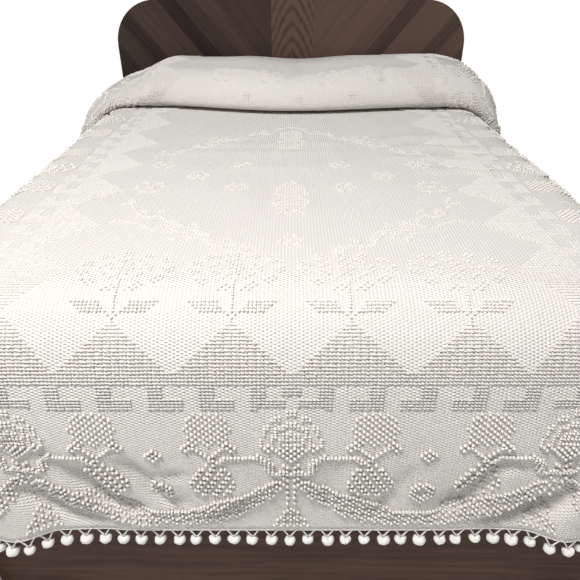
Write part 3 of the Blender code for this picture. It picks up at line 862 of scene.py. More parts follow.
    def _swag(self, t: Array, d: Array, half: int, where: Array) -> None:
        """Chart the swag that hangs between two medallions, in slanted rows."""
        places = np.array([0.0, 5.0, 9.0, 14.0, 18.0, 22.0, 26.0, 30.0, 37.0])
        top = np.interp(t, places, (27.5, 26.2, 23.0, 19.6, 18.6, 16.1, 13.4, 10.8, 10.0))
        low = np.interp(t, places, (27.0, 19.0, 14.0, 9.2, 6.2, 4.2, 4.0, 4.0, 4.0))
        inside = (d <= top) & (d >= low) & (t >= 3)
        edge = inside & (d > top - 1.0)
        rows = inside & ((t + d) % 2 == 0) & ((t + 3 * d) % 10 < 7)
        self._mark(where & (edge | rows), Tuft.POPCORN)

    def _tendril(self, t: Array, d: Array, disc: int, where: Array) -> None:
        """Chart the tendril from a sprig to the cross bar, a double row of stitches."""
        path = ((disc, 36.4), (disc - 2.5, 34.8), (disc - 5.0, 37.2), (8.5, 37.4), (6.5, 35.0), (5.5, 31.0))
        near, _ = line_distance(t.astype(float), d.astype(float), path)
        self._mark(where & (near <= 0.62), Tuft.POPCORN)
        self._mark(where & (near > 0.62) & (near <= 1.3) & (t < disc - 4) & (d < 37), Tuft.DOT)

    def _medallion(self, t: Array, d: Array, where: Array) -> None:
        """Chart a medallion: scalloped head, leaves, cross bar, stem and fan."""
        clear = where & (t <= 8) & (d >= 38) & (d <= 55)
        self._mark(clear, Tuft.NONE)
        head = np.hypot(t / 8.3, (d - 42.0) / 11.8)
        turn = np.arctan2((d - 42.0) / 11.8, t / 8.3)
        ring = head / (1.0 + 0.05 * np.cos(turn * 8.0))
        arcs = (ring <= 1.02) & (ring > 0.86) & (np.cos(turn * 12.0) > -0.7)
        arcs |= (ring <= 0.70) & (ring > 0.56)
        arcs |= (ring <= 0.42) & (ring > 0.28)
        arcs |= (t <= 3) & ((d == 44) | (d == 42))
        self._mark(where & arcs & (d >= 42), Tuft.DOT)
        wing = np.hypot((t - 6.3) / 2.4, (d - 41.3) / 1.7) <= 1.0
        self._mark(where & wing & ((t + d) % 2 == 0), Tuft.POPCORN)
        bowl = (t <= 4) & (d >= 36) & (d <= 41) & (t <= (d - 35.5))
        self._mark(where & bowl & ((t + d) % 2 == 0), Tuft.POPCORN)
        self._mark(where & (t <= 5) & ((d == 30) | ((d == 31) & (t % 2 == 1))), Tuft.POPCORN)
        self._mark(where & (t == 1) & (d >= 15) & (d <= 35) & (d % 3 == 0), Tuft.POPCORN)
        self._mark(where & (t == 2) & (d >= 25) & (d <= 35) & (d % 3 == 1), Tuft.POPCORN)
        fan = (t <= 0.50 * (14 - d) + 0.6) & (d >= 3) & (d <= 13)
        self._mark(where & fan & ((t + d) % 2 == 0) & (d % 4 != 1), Tuft.POPCORN)

    def _hem_band(self, along: Array, depth: Array, plan: BorderPlan, where: Array) -> None:
        """Chart the outer band of the side drop: small diamonds over a swag at the hem."""
        t = self._near(along, plan)
        half = plan.repeat // 2
        y = half - t
        tile = (y + np.abs(depth - 30) <= 5) & ((y + depth) % 2 == 0)
        tile |= (t + np.abs(depth - 38) <= 4) & ((t + depth) % 2 == 0)
        self._mark(where & tile, Tuft.POPCORN)
        self._swag(t, depth, half, where)

    def _flowers(self) -> None:
        """Chart a flower with two leaves over each triangle of the foot border."""
        for centre in (-45, -15, 15, 45):
            self._flower(self.c - centre, self.r - self.apex_row + 1)

    def _flower(self, x: Array, y: Array) -> None:
        """Chart one flower.

        Args:
            x: ribs from its stem.
            y: rows above the triangle's apex.
        """
        far = np.abs(x)
        self._mark((x == 0) & (y == 2), Tuft.DOT)
        self._mark((far == 1) & (y == 3), Tuft.DOT)
        leaf = (y >= 4) & (y <= 7)
        start = 1.6 + (y - 4) * 0.8
        leaf &= (far >= start) & (far <= start + 6.4 + (y - 4) * 0.2)
        self._mark(leaf, Tuft.DOT)
        self._head(x, y - 11, 13.0, 10.0)
        self._mark((x == 0) & (y >= 4) & (y <= 14), Tuft.DOT)

    def _head(self, x: Array, y: Array, half_wide: float, half_high: float) -> None:
        """Chart a round flower head of small clusters on two rings and a heart.

        Args:
            x: ribs from its middle.
            y: rows from its lowest edge.
            half_wide: half of its width in ribs.
            half_high: half of its height in rows.
        """
        up = y - half_high
        radius = np.hypot(x / half_wide, up / half_high)
        turn = np.arctan2(up / half_high, x / half_wide)
        outer = (radius <= 1.02) & (radius > 0.76) & (np.cos(turn * 11 + 0.6) > -0.25)
        inner = (radius <= 0.60) & (radius > 0.40) & (np.cos(turn * 7) > -0.35)
        heart = (radius <= 0.20) | ((radius > 0.27) & (radius <= 0.33) & (np.cos(turn * 4) > 0))
        foot_row = (y == 0) & (np.abs(x) <= 5)
        self._mark((outer | inner | heart | foot_row) & ((x + y) % 2 == 0), Tuft.DOT)

    def _field(self) -> None:
        """Chart the middle field: a lattice of diagonal garlands with flowers between."""
        far, r = self.far.astype(float), self.r.astype(float)
        field_area = (self.far <= 58) & (self.r >= 104) & (self.r <= 262)
        for start, slope in ((96.0, 0.925), (260.0, -0.925)):
            sway = 2.6 * np.sin(far * 2 * math.pi / 13.0)
            off = (r - start - slope * far - sway) / math.hypot(1.0, slope)
            self._mark(field_area & (np.abs(off) <= 0.8), Tuft.DASH)
            beads = (np.abs(off - 3.2) <= 1.1) & ((self.far // 3) % 2 == 0)
            self._mark(field_area & beads, Tuft.DASH)
        for x, y, size in ((33, 125, 6.0), (0, 119, 4.0), (52, 168, 6.0), (33, 236, 6.0), (52, 196, 5.0)):
            self._rosette(self.far - x, self.r - y, size)
        for low in (141, 221):
            self._urn(self.far, self.r - low)
        for x, y in ((20, 168), (36, 182), (20, 196)):
            self._rosette(self.far - x, self.r - y, 4.5)
        for x, y, size in ((-38, 366, 6.5), (-11, 367, 7.0), (20, 366, 7.0), (46, 367, 7.5)):
            self._rosette(self.c - x, self.r - y, size)
        for x in (-24, 4, 33):
            self._rosette(self.c - x, self.r - 352, 2.6)
        wave = 8.0 * np.abs(np.sin(self.far * math.pi / 22.0))
        arch = np.abs(r - 128.0 - wave * 0.8) <= 0.9
        self._mark(field_area & arch & (self.far >= 36), Tuft.DASH)

    def _rosette(self, x: Array, y: Array, size: float) -> None:
        """Chart a small round flower: a ring of clusters around a heart."""
        radius = np.hypot(x, y * 0.92)
        ring = (radius <= size) & (radius > size - 1.9)
        ring &= np.cos(np.arctan2(y, x) * 6) > -0.4
        self._mark(ring | (radius <= size * 0.3), Tuft.DASH)

    def _urn(self, far: Array, y: Array) -> None:
        """Chart an urn of flowers on the centre line, 34 rows high."""
        half = np.interp(y, (0, 3, 6, 12, 17, 20, 28, 34), (5, 2, 5, 7, 3, 6, 5, 0.5))
        inside = (y >= 0) & (y <= 34) & (far <= half)
        self._mark(inside & ((far + y) % 2 == 0), Tuft.DASH)
        self._mark(inside & (far > half - 1.2), Tuft.DASH)

    def cells(self, kind: Tuft) -> tuple[Array, Array]:
        """Return the flat places of one kind of stitch.

        Args:
            kind: the stitch.

        Returns:
            u and v of each cell that holds it.
        """
        hit = self.kind == kind
        return self.c[hit] * self.rib, self.r[hit] * self.row


def running_length(line: Array) -> Array:
    """Return the length along a line of points, up to each of them."""
    return np.concatenate([[0.0], np.cumsum(np.linalg.norm(np.diff(line, axis=0), axis=1))])


def read_line(places: Array, length: Array, line: Array) -> Array:
    """Return the points of a line at given lengths along it.

    Args:
        places: the lengths to read.
        length: the running length of the line's own points.
        line: those points.

    Returns:
        One point for each length, on the straight piece between its neighbours.
    """
    return np.column_stack([np.interp(places, length, line[:, k]) for k in range(3)])


def ring_quads(rings: int, around: int) -> Array:
    """Return the quads between rings of corners that follow one another.

    Args:
        rings: number of rings.
        around: corners in each ring.

    Returns:
        Rows of four corner numbers: a corner, the next in its ring, and the two
        beyond them in the next ring.
    """
    start = np.arange(rings - 1)[:, None] * around
    here = (start + np.arange(around)).ravel()
    beside = (start + (np.arange(around) + 1) % around).ravel()
    return np.column_stack([here, beside, beside + around, here + around])


def tube_faces(rings: int, around: int) -> list[list[int]]:
    """Return the faces of a tube: the quads between its rings, and a cap at each end."""
    last = (rings - 1) * around
    caps = [list(range(around))[::-1], list(range(last, last + around))]
    return ring_quads(rings, around).tolist() + caps


def repeated(faces: list, copies: int, corners: int) -> list[list[int]]:
    """Return the faces of a small mesh for every one of its copies.

    Args:
        faces: the small mesh's faces.
        copies: number of copies.
        corners: number of corners of each copy.

    Returns:
        Each face as many times as there are copies, its numbers moved on.
    """
    starts = np.arange(copies)[:, None] * corners
    return [row for face in faces for row in (starts + np.array(face)).tolist()]


def mesh_object(name: str, points: Array, faces: list, finish: bpy.types.Material) -> bpy.types.Object:
    """Add a mesh object with smooth faces.

    Args:
        name: the piece's name.
        points: corner points, one row each.
        faces: corner numbers of each face.
        finish: its material.

    Returns:
        The new object, linked to the scene.
    """
    mesh = bpy.data.meshes.new(name)
    mesh.from_pydata(points.tolist(), [], faces)
    mesh.polygons.foreach_set("use_smooth", np.ones(len(mesh.polygons), bool))
    mesh.materials.append(finish)
    mesh.update()
    made = bpy.data.objects.new(name, mesh)
    bpy.context.collection.objects.link(made)
    return made


class NodeTree:
    """A shader node tree, filled in by short calls."""

    def __init__(self, tree: bpy.types.NodeTree) -> None:
        """Keep the tree to fill in."""
        self.tree = tree

    def node(self, kind: str, **values: object) -> bpy.types.Node:
        """Add a node and set its own properties."""
        made = self.tree.nodes.new(kind)
        for key, value in values.items():
            setattr(made, key, value)
        return made

    def link(self, source: object, target: object) -> None:
        """Join an output socket to an input socket."""
        self.tree.links.new(source, target)

    def feed(self, value: object, target: bpy.types.NodeSocket) -> None:
        """Give an input socket a link, a number or a colour."""
        if isinstance(value, bpy.types.NodeSocket):
            self.link(value, target)
        elif target.type == "RGBA":
            target.default_value = (*value[:3], 1.0)
        else:
            target.default_value = value

    def math(self, operation: str, first: object, second: object = 0.0) -> bpy.types.NodeSocket:
        """Add a Math node.

        Args:
            operation: the node's operation.
            first: socket or number.
            second: socket or number.

        Returns:
            Its output socket.
        """
        made = self.node("ShaderNodeMath", operation=operation)
        self.feed(first, made.inputs[0])
        self.feed(second, made.inputs[1])
        return made.outputs[0]

    def mix(self, share: object, first: object, second: object, blend: str = "MIX") -> bpy.types.NodeSocket:
        """Add a colour mix.

        Args:
            share: socket or number, 0 for the first colour and 1 for the second.
            first: socket or colour.
            second: socket or colour.
            blend: how the second is laid over the first.

        Returns:
            Its output socket.
        """
        made = self.node("ShaderNodeMix", data_type="RGBA", blend_type=blend)
        self.feed(share, made.inputs["Factor"])
        self.feed(first, made.inputs[6])
        self.feed(second, made.inputs[7])
        return made.outputs[2]

    def noise(self, vector: object, scale: object, detail: float = 2.0) -> bpy.types.NodeSocket:
        """Add a noise texture and return its factor socket."""
        made = self.node("ShaderNodeTexNoise")
        self.feed(scale, made.inputs["Scale"])
        made.inputs["Detail"].default_value = detail
        self.link(vector, made.inputs["Vector"])
        return made.outputs["Fac"]

    def effect(self, group: EffectTree, **values: object) -> bpy.types.bpy_prop_collection:
        """Place a shared effect.

        Args:
            group: the effect.
            values: a socket, number or colour for each of its inputs, by name.

        Returns:
            The outputs of the placed effect.
        """
        made = self.node("ShaderNodeGroup", node_tree=group.tree)
        for key, value in values.items():
            self.feed(value, made.inputs[key])
        return made.outputs

    def split(self, vector: object) -> bpy.types.bpy_prop_collection:
        """Split a vector and return its X, Y and Z sockets."""
        made = self.node("ShaderNodeSeparateXYZ")
        self.link(vector, made.inputs[0])
        return made.outputs


class NodeSheet(NodeTree):
    """A material's node tree, around its Principled shader."""

    def __init__(self, name: str) -> None:
        """Start a material that has a Principled shader alone."""
        self.material = bpy.data.materials.new(name)
        self.material.use_nodes = True
        super().__init__(self.material.node_tree)
        self.shader = self.tree.nodes["Principled BSDF"]

    def place(self) -> bpy.types.NodeSocket:
        """Return the Object coordinates."""
        return self.node("ShaderNodeTexCoord").outputs["Object"]

    def colour(self, source: object) -> None:
        """Drive the shader's colour from a socket."""
        self.link(source, self.shader.inputs["Base Color"])

    def bump(self, height: object, strength: float, distance: float) -> None:
        """Drive the shader's normal from a height socket."""
        made = self.node("ShaderNodeBump")
        made.inputs["Strength"].default_value = strength
        made.inputs["Distance"].default_value = distance
        self.link(height, made.inputs["Height"])
        self.link(made.outputs["Normal"], self.shader.inputs["Normal"])

    def set(self, **values: float | tuple) -> None:
        """Set the shader's own sockets, named with underscores for spaces."""
        for key, value in values.items():
            self.shader.inputs[key.replace("_", " ")].default_value = value


class EffectTree(NodeTree):
    """A shader node group with named inputs and outputs."""

    def __init__(self, name: str, inputs: dict[str, str], outputs: dict[str, str]) -> None:
        """Start a group with its sockets.

        Args:
            name: the group's name.
            inputs: the kind of each input, by its name.
            outputs: the kind of each output, by its name.
        """
        super().__init__(bpy.data.node_groups.new(name, "ShaderNodeTree"))
        for side, sockets in (("INPUT", inputs), ("OUTPUT", outputs)):
            for label, kind in sockets.items():
                self.tree.interface.new_socket(name=label, in_out=side, socket_type="NodeSocket" + kind)
        self.inputs = self.node("NodeGroupInput").outputs
        self.outputs = self.node("NodeGroupOutput").inputs


class Effects:
    """Effects that more than one material uses, each built once."""

    def __init__(self) -> None:
        """Build every shared effect."""
        self.fibre = self._fibre()
        self.thread = self._thread()
        self.grain = self._grain()

    @staticmethod
    def _fibre() -> EffectTree:
        """Return cotton fibre: fine noise as height, and a soft tone twelve times coarser."""
        made = EffectTree(
            "cotton fibre",
            {"Place": "Vector", "Fine": "Float", "Soft": "Color", "Light": "Color"},
            {"Colour": "Color", "Fibres": "Float"},
        )
        place, fine = made.inputs["Place"], made.inputs["Fine"]
        tone = made.noise(place, made.math("DIVIDE", fine, 12.0), 2.0)
        made.link(made.mix(tone, made.inputs["Soft"], made.inputs["Light"]), made.outputs["Colour"])
        made.link(made.noise(place, fine, 3.0), made.outputs["Fibres"])
        return made

    @staticmethod
    def _thread() -> EffectTree:
        """Return spun thread: fine noise as height, for woven and knitted grounds."""
        made = EffectTree("spun thread", {"Place": "Vector", "Fine": "Float"}, {"Thread": "Float"})
        made.link(made.noise(made.inputs["Place"], made.inputs["Fine"], 2.0), made.outputs["Thread"])
        return made

    @staticmethod
    def _grain() -> EffectTree:
        """Return wood grain: deep noise, and its tone as (grain − low) · gain."""
        made = EffectTree(
            "wood grain",
            {"Place": "Vector", "Scale": "Float", "Low": "Float", "Gain": "Float"},
            {"Grain": "Float", "Tone": "Float"},
        )
        grain = made.noise(made.inputs["Place"], made.inputs["Scale"], 8.0)
        above = made.math("SUBTRACT", grain, made.inputs["Low"])
        made.link(grain, made.outputs["Grain"])
        made.link(made.math("MULTIPLY", above, made.inputs["Gain"]), made.outputs["Tone"])
        return made


@dataclass(frozen=True)
class Cotton:
    """Off-white cotton of the spread's ground, tufts and balls."""

    effects: Effects
    rib: float
    row: float
    light: tuple[float, float, float] = (0.830, 0.810, 0.768)
    deep: tuple[float, float, float] = (0.770, 0.746, 0.700)
    # painted shade: the dark colour that each tuft takes at its foot
    root: tuple[float, float, float] = (0.34, 0.302, 0.25)
    # painted shade: the tint that the ground's colour is multiplied by between its stitches
    painted_hollow_shade: tuple[float, float, float] = (0.88, 0.86, 0.83)

    def _soft(self, sheet: NodeSheet) -> None:
        """Set the dry, slightly downy gloss of cotton."""
        sheet.set(Roughness=0.92, Specular_IOR_Level=0.25, Sheen_Weight=0.12, Sheen_Roughness=0.6)

    def ground(self) -> bpy.types.Material:
        """Return the ribbed ground.

        Returns:
            A material that reads the sheet's flat coordinates. Each cell of the
            grid has one small slanted stitch, half a row lower from rib to rib,
            over ribs that are barely raised. Its colour is darkened where the
            stitches sink, as painted shade between them.
        """
        sheet = NodeSheet("chenille ground")
        flat = sheet.node("ShaderNodeUVMap", uv_map="cloth").outputs["UV"]
        u, v, _ = sheet.split(flat)
        half_ribs = sheet.math("MULTIPLY", u, math.pi / self.rib)
        rows = sheet.math("MULTIPLY", v, 2 * math.pi / self.row)
        leaning = sheet.math("COSINE", sheet.math("ADD", rows, half_ribs))
        rising = sheet.math("COSINE", sheet.math("SUBTRACT", rows, half_ribs))
        rising = sheet.math("MULTIPLY", rising, 0.38)
        stitch = sheet.math("ADD", sheet.math("MULTIPLY", leaning, 0.62), rising)
        cord = sheet.math("COSINE", sheet.math("MULTIPLY", half_ribs, 2.0))
        thread = sheet.effect(self.effects.thread, Place=flat, Fine=900.0)["Thread"]
        height = sheet.math("ADD", sheet.math("MULTIPLY", thread, 0.4), sheet.math("MULTIPLY", stitch, 0.60))
        height = sheet.math("ADD", height, sheet.math("MULTIPLY", cord, 0.24))
        ground = sheet.mix(sheet.noise(flat, 6.0, 4.0), self.deep, self.light)
        # painted shade: the ground's colour is multiplied down where each stitch sinks
        raised = sheet.math("ADD", sheet.math("MULTIPLY", stitch, 0.5), 0.5)
        dip = sheet.mix(raised, self.painted_hollow_shade, (1.0, 1.0, 1.0))
        sheet.colour(sheet.mix(1.0, ground, dip, "MULTIPLY"))
        sheet.bump(height, 1.0, 0.0017)
        self._soft(sheet)
        return sheet.material

    def tuft(self, name: str, fine: float, root_shade_power: float, pale: float = 1.0) -> bpy.types.Material:
        """Return the finish of raised stitches and balls.

        Args:
            name: the material's name.
            fine: scale of its fibres.
            root_shade_power: how far the painted shade at each tuft's root reaches up the attribute "rise",
                or 0.
            pale: its share of the cotton's own paleness.

        Returns:
            A material on Object coordinates with a fibrous bump, and with painted shade that darkens each
            tuft towards its root.
        """
        sheet = NodeSheet(name)
        light = tuple(x * 1.05 * pale for x in self.light)
        soft = tuple(x * pale for x in self.light)
        fibre = sheet.effect(self.effects.fibre, Place=sheet.place(), Fine=fine, Soft=soft, Light=light)
        colour = fibre["Colour"]
        # painted shade: each tuft darkens towards the root colour at its foot, along the attribute "rise"
        if root_shade_power > 0.0:
            rise = sheet.node("ShaderNodeAttribute", attribute_name="rise").outputs["Fac"]
            colour = sheet.mix(sheet.math("POWER", rise, root_shade_power), self.root, colour)
        sheet.colour(colour)
        sheet.bump(fibre["Fibres"], 0.5, 0.0008)
        self._soft(sheet)
        return sheet.material


@dataclass(frozen=True)
class Veneer:
    """Dark walnut veneer of the headboard and the plain boards."""

    effects: Effects
    dark: tuple[float, float, float] = (0.014, 0.008, 0.007)
    light: tuple[float, float, float] = (0.108, 0.066, 0.050)
    board_dark: tuple[float, float, float] = (0.056, 0.029, 0.018)
    board_light: tuple[float, float, float] = (0.130, 0.070, 0.045)
    seam_left: float = -0.084
    seam_right: float = 0.095
    board_width: float = 0.062
    board_lean: float = math.radians(50)

    def plain(self) -> bpy.types.Material:
        """Return the finish of the lower boards, with grain along X."""
        sheet = NodeSheet("walnut board")
        stretch = sheet.node("ShaderNodeMapping")
        stretch.inputs["Scale"].default_value = (1.6, 1.6, 26.0)
        sheet.link(sheet.place(), stretch.inputs["Vector"])
        wood = sheet.effect(self.effects.grain, Place=stretch.outputs[0], Scale=3.0, Low=0.32, Gain=1.6)
        sheet.colour(sheet.mix(wood["Tone"], self.board_dark, self.board_light))
        sheet.bump(wood["Grain"], 0.12, 0.0006)
        sheet.set(Roughness=0.62, Specular_IOR_Level=0.16)
        return sheet.material

    def _slanted(self, sheet: NodeSheet, x: object, z: object) -> bpy.types.NodeSocket:
        """Return the tone of boards laid slanting.

        Args:
            sheet: the material in work.
            x: distance from the seam.
            z: height.

        Returns:
            A tone socket: wide boards of differing tone, streaked along the grain.
        """
        cos, sin = math.cos(self.board_lean), math.sin(self.board_lean)
        along = sheet.math("ADD", sheet.math("MULTIPLY", x, cos), sheet.math("MULTIPLY", z, sin))
        across = sheet.math("SUBTRACT", sheet.math("MULTIPLY", z, cos), sheet.math("MULTIPLY", x, sin))
        joined = sheet.node("ShaderNodeCombineXYZ")
        sheet.link(sheet.math("MULTIPLY", along, 1.3), joined.inputs[0])
        sheet.link(sheet.math("MULTIPLY", across, 30.0), joined.inputs[1])
        streaks = sheet.effect(self.effects.grain, Place=joined.outputs[0], Scale=2.2, Low=0.31, Gain=0.5)
        board = sheet.node("ShaderNodeTexWhiteNoise", noise_dimensions="1D")
        sheet.link(sheet.math("FLOOR", sheet.math("DIVIDE", across, self.board_width)), board.inputs["W"])
        tone = sheet.math("MULTIPLY", board.outputs["Value"], 0.42)
        return sheet.math("ADD", tone, streaks["Tone"])

    def headboard(self) -> bpy.types.Material:
        """Return the headboard's finish.

        Returns:
            A material on Object coordinates: a middle band with arched grain, and
            boards that slant down to it from either side.
        """
        sheet = NodeSheet("walnut chevron")
        place = sheet.place()
        x, _, z = sheet.split(place)
        middle = (self.seam_left + self.seam_right) / 2
        half = (self.seam_right - self.seam_left) / 2
        off = sheet.math("SUBTRACT", x, middle)
        far = sheet.math("ABSOLUTE", off)
        right = sheet.math("GREATER_THAN", off, 0.0)
        sides = self._slanted(sheet, far, z)
        paler = sheet.math("ADD", sheet.math("MULTIPLY", sides, 0.6), 0.34)
        sides = sheet.math("ADD", sides, sheet.math("MULTIPLY", right, paler))
        arch = sheet.math("MULTIPLY", sheet.math("MULTIPLY", far, far), 9.0)
        wander = sheet.math("MULTIPLY", sheet.noise(place, 9.0, 3.0), 0.05)
        rings = sheet.math("ADD", sheet.math("ADD", z, arch), wander)
        rings = sheet.math("ADD", rings, sheet.math("MULTIPLY", far, 0.9))
        wave = sheet.math("SINE", sheet.math("MULTIPLY", rings, 105.0))
        band = sheet.math("ADD", sheet.math("MULTIPLY", wave, 0.36), sheet.noise(place, 60.0, 4.0))
        band = sheet.math("ADD", band, 0.38)
        choose = sheet.node("ShaderNodeMix", data_type="FLOAT")
        sheet.link(sheet.math("GREATER_THAN", far, half), choose.inputs["Factor"])
        sheet.link(band, choose.inputs[2])
        sheet.link(sides, choose.inputs[3])
        tone = choose.outputs[0]
        sheet.colour(sheet.mix(tone, self.dark, self.light))
        sheet.bump(tone, 0.10, 0.0006)
        sheet.set(Roughness=0.60, Specular_IOR_Level=0.16)
        return sheet.material


@dataclass(frozen=True)
class Ticking:
    """Plain cotton of the mattress and the pillows."""

    effects: Effects
    light: tuple[float, float, float] = (0.78, 0.76, 0.72)
    stripe: tuple[float, float, float] = (0.55, 0.57, 0.60)
    stripe_pitch: float = 0.022

    def finish(self) -> bpy.types.Material:
        """Return a material of narrow woven stripes on Object coordinates."""
        sheet = NodeSheet("ticking")
        place = sheet.place()
        x = sheet.split(place)[0]
        wave = sheet.math("SINE", sheet.math("MULTIPLY", x, 2 * math.pi / self.stripe_pitch))
        stripe = sheet.math("GREATER_THAN", wave, 0.72)
        thread = sheet.effect(self.effects.thread, Place=place, Fine=700.0)["Thread"]
        sheet.colour(sheet.mix(stripe, self.light, self.stripe))
        sheet.bump(thread, 0.3, 0.0005)
        sheet.set(Roughness=0.9, Specular_IOR_Level=0.2)
        return sheet.material


@dataclass
class Spread:
    """The spread: its sheet and the tufts on it."""

    drape: Drape
    chart: Chart
    across_steps: int = 76
    corner_steps: int = 30
    turn_steps: int = 14
    hang_steps: int = 30
    sizes: dict[Tuft, tuple[float, float, float]] = field(default_factory=lambda: {
        Tuft.DASH: (0.0050, 0.0019, 0.0036),
        Tuft.DOT: (0.0035, 0.0029, 0.0047),
        Tuft.POPCORN: (0.0036, 0.0033, 0.0072),
    })
    dash_lean: float = -0.26
    dot_lean: float = -0.62
    sink: float = 0.0007
    hem_margin: float = 0.012
    tuck_margin: tuple[float, float] = (0.02, 0.004)
    tuck_half: float = 0.70
    head_margin: float = 0.10
    stray: float = 0.00025
    uneven: float = 0.06

    def rows(self) -> Array:
        """Return the v of the top's mesh rows, closer where the cloth turns."""
        centre = self.drape.centre
        marks = (
            (self.drape.inner_v, centre.tuck_start, 62),
            (centre.tuck_start, centre.tuck_stop, 6),
            (centre.tuck_stop, centre.front_start, 9),
            (centre.front_start, centre.front_stop, 26),
            (centre.front_stop, centre.back_start, 30),
            (centre.back_start, self.drape.cloth.length, 12),
        )
        runs = [np.linspace(a, b, n, endpoint=False) for a, b, n in marks]
        return np.concatenate([*runs, [self.drape.cloth.length]])

    def hem_reach(self, angle: Array) -> Array:
        """Return the cloth's length from the flat top to the hem in a direction."""
        d = self.drape
        return 1.0 / np.hypot(np.cos(angle) / d.inner_v, np.sin(angle) / d.side_reach)

    def rim(self, rows: Array) -> Array:
        """Return the path around the flat top's edge.

        Args:
            rows: v of the top's rows.

        Returns:
            Rows of u, v, direction across and direction down, along the left
            side from the head, around the foot, and back along the right side.
        """
        d = self.drape
        turn = np.linspace(0.0, math.pi / 2, self.corner_steps + 1)
        foot_x = np.linspace(-d.inner_x, d.inner_x, self.across_steps + 1)[1:-1]

        def rows_of(x: Array | float, v: Array | float, across: Array | float, down: Array | float) -> Array:
            """Return the four columns as one table."""
            return np.column_stack(np.broadcast_arrays(x, v, across, down))

        back = rows[:0:-1]
        left = rows_of(-d.inner_x, back, -1.0, 0.0)
        left_corner = rows_of(-d.inner_x, d.inner_v, -np.cos(turn), np.sin(turn))
        foot = rows_of(foot_x, d.inner_v, 0.0, 1.0)
        right_corner = rows_of(d.inner_x, d.inner_v, np.sin(turn), np.cos(turn))
        right = rows_of(d.inner_x, rows[1:], 1.0, 0.0)
        return np.concatenate([left, left_corner, foot, right_corner, right])

    def _flat_mesh(self) -> tuple[Array, list[list[int]]]:
        """Return the sheet's mesh in flat coordinates.

        Returns:
            Points (u, v), and faces. A grid covers the flat top, and rings at
            growing distance from it cover the drop, fanned at each foot corner.
            Points that fall together are one.
        """
        d = self.drape
        rows = self.rows()
        across = np.linspace(-d.inner_x, d.inner_x, self.across_steps + 1)
        grid_u, grid_v = np.meshgrid(across, rows)
        flat = np.column_stack([grid_u.ravel(), grid_v.ravel()])
        wide = self.across_steps + 1
        a = (np.arange(len(rows) - 1)[:, None] * wide + np.arange(self.across_steps)).ravel()
        top = np.column_stack([a, a + 1, a + wide + 1, a + wide])
        rim = self.rim(rows)
        angle = np.arctan2(np.abs(rim[:, 2]), rim[:, 3])
        turned = self.drape.edges.round_radius(angle) * math.pi / 2
        full = self.hem_reach(angle)
        near = np.linspace(0.0, 1.0, self.turn_steps + 1)[:, None] * turned
        rest = np.linspace(0.0, 1.0, self.hang_steps + 1)[1:, None]
        far = np.concatenate([near, turned + rest * (full - turned)])
        drop_u = rim[:, 0] + rim[:, 2] * far
        drop_v = rim[:, 1] - rim[:, 3] * far
        start = len(flat)
        flat = np.concatenate([flat, np.column_stack([drop_u.ravel(), drop_v.ravel()])])
        size = len(rim)
        b = (np.arange(far.shape[0] - 1)[:, None] * size + np.arange(size - 1)).ravel() + start
        drop = np.column_stack([b, b + size, b + size + 1, b + 1])
        keys, first, number = np.unique(
            np.round(flat * 1e6).astype(np.int64), axis=0, return_index=True, return_inverse=True
        )
        faces = []
        for face in number.ravel()[np.concatenate([top, drop])].tolist():
            corners = [c for k, c in enumerate(face) if c != face[k - 1]]
            if len(corners) > 2:
                faces.append(corners)
        return flat[first], faces

    def build_sheet(self, finish: bpy.types.Material) -> bpy.types.Object:
        """Build the fine sheet in place of its solid.

        Args:
            finish: the ground's material.

        Returns:
            The sheet's object, with its flat coordinates as the UV map "cloth".
        """
        flat, faces = self._flat_mesh()
        points = self.drape.place(flat[:, 0], flat[:, 1])
        sheet = mesh_object("spread_sheet", points, faces, finish)
        mesh = sheet.data
        corners = np.zeros(len(mesh.loops), np.int32)
        mesh.loops.foreach_get("vertex_index", corners)
        layer = mesh.uv_layers.new(name="cloth")
        layer.data.foreach_set("uv", flat[corners].astype(np.float32).ravel())
        thick = sheet.modifiers.new("cloth thickness", "SOLIDIFY")
        thick.thickness = self.drape.cloth.fine_thick
        thick.offset = 0.0
        return sheet

    def _on_cloth(self, u: Array, v: Array) -> Array:
        """Return the mask of points that lie on the cloth, clear of its hems."""
        d = self.drape
        du = np.maximum(np.abs(u) - d.inner_x, 0.0)
        dv = np.maximum(d.inner_v - v, 0.0)
        reach = np.hypot(dv / (d.inner_v - self.hem_margin), du / (d.side_reach - self.hem_margin))
        before, after = self.tuck_margin
        tucked = (v > d.centre.tuck_start - before) & (v < d.centre.front_start + after)
        tucked &= np.abs(u) < self.tuck_half
        return (reach < 1.0) & (v < d.cloth.length - self.head_margin) & ~tucked

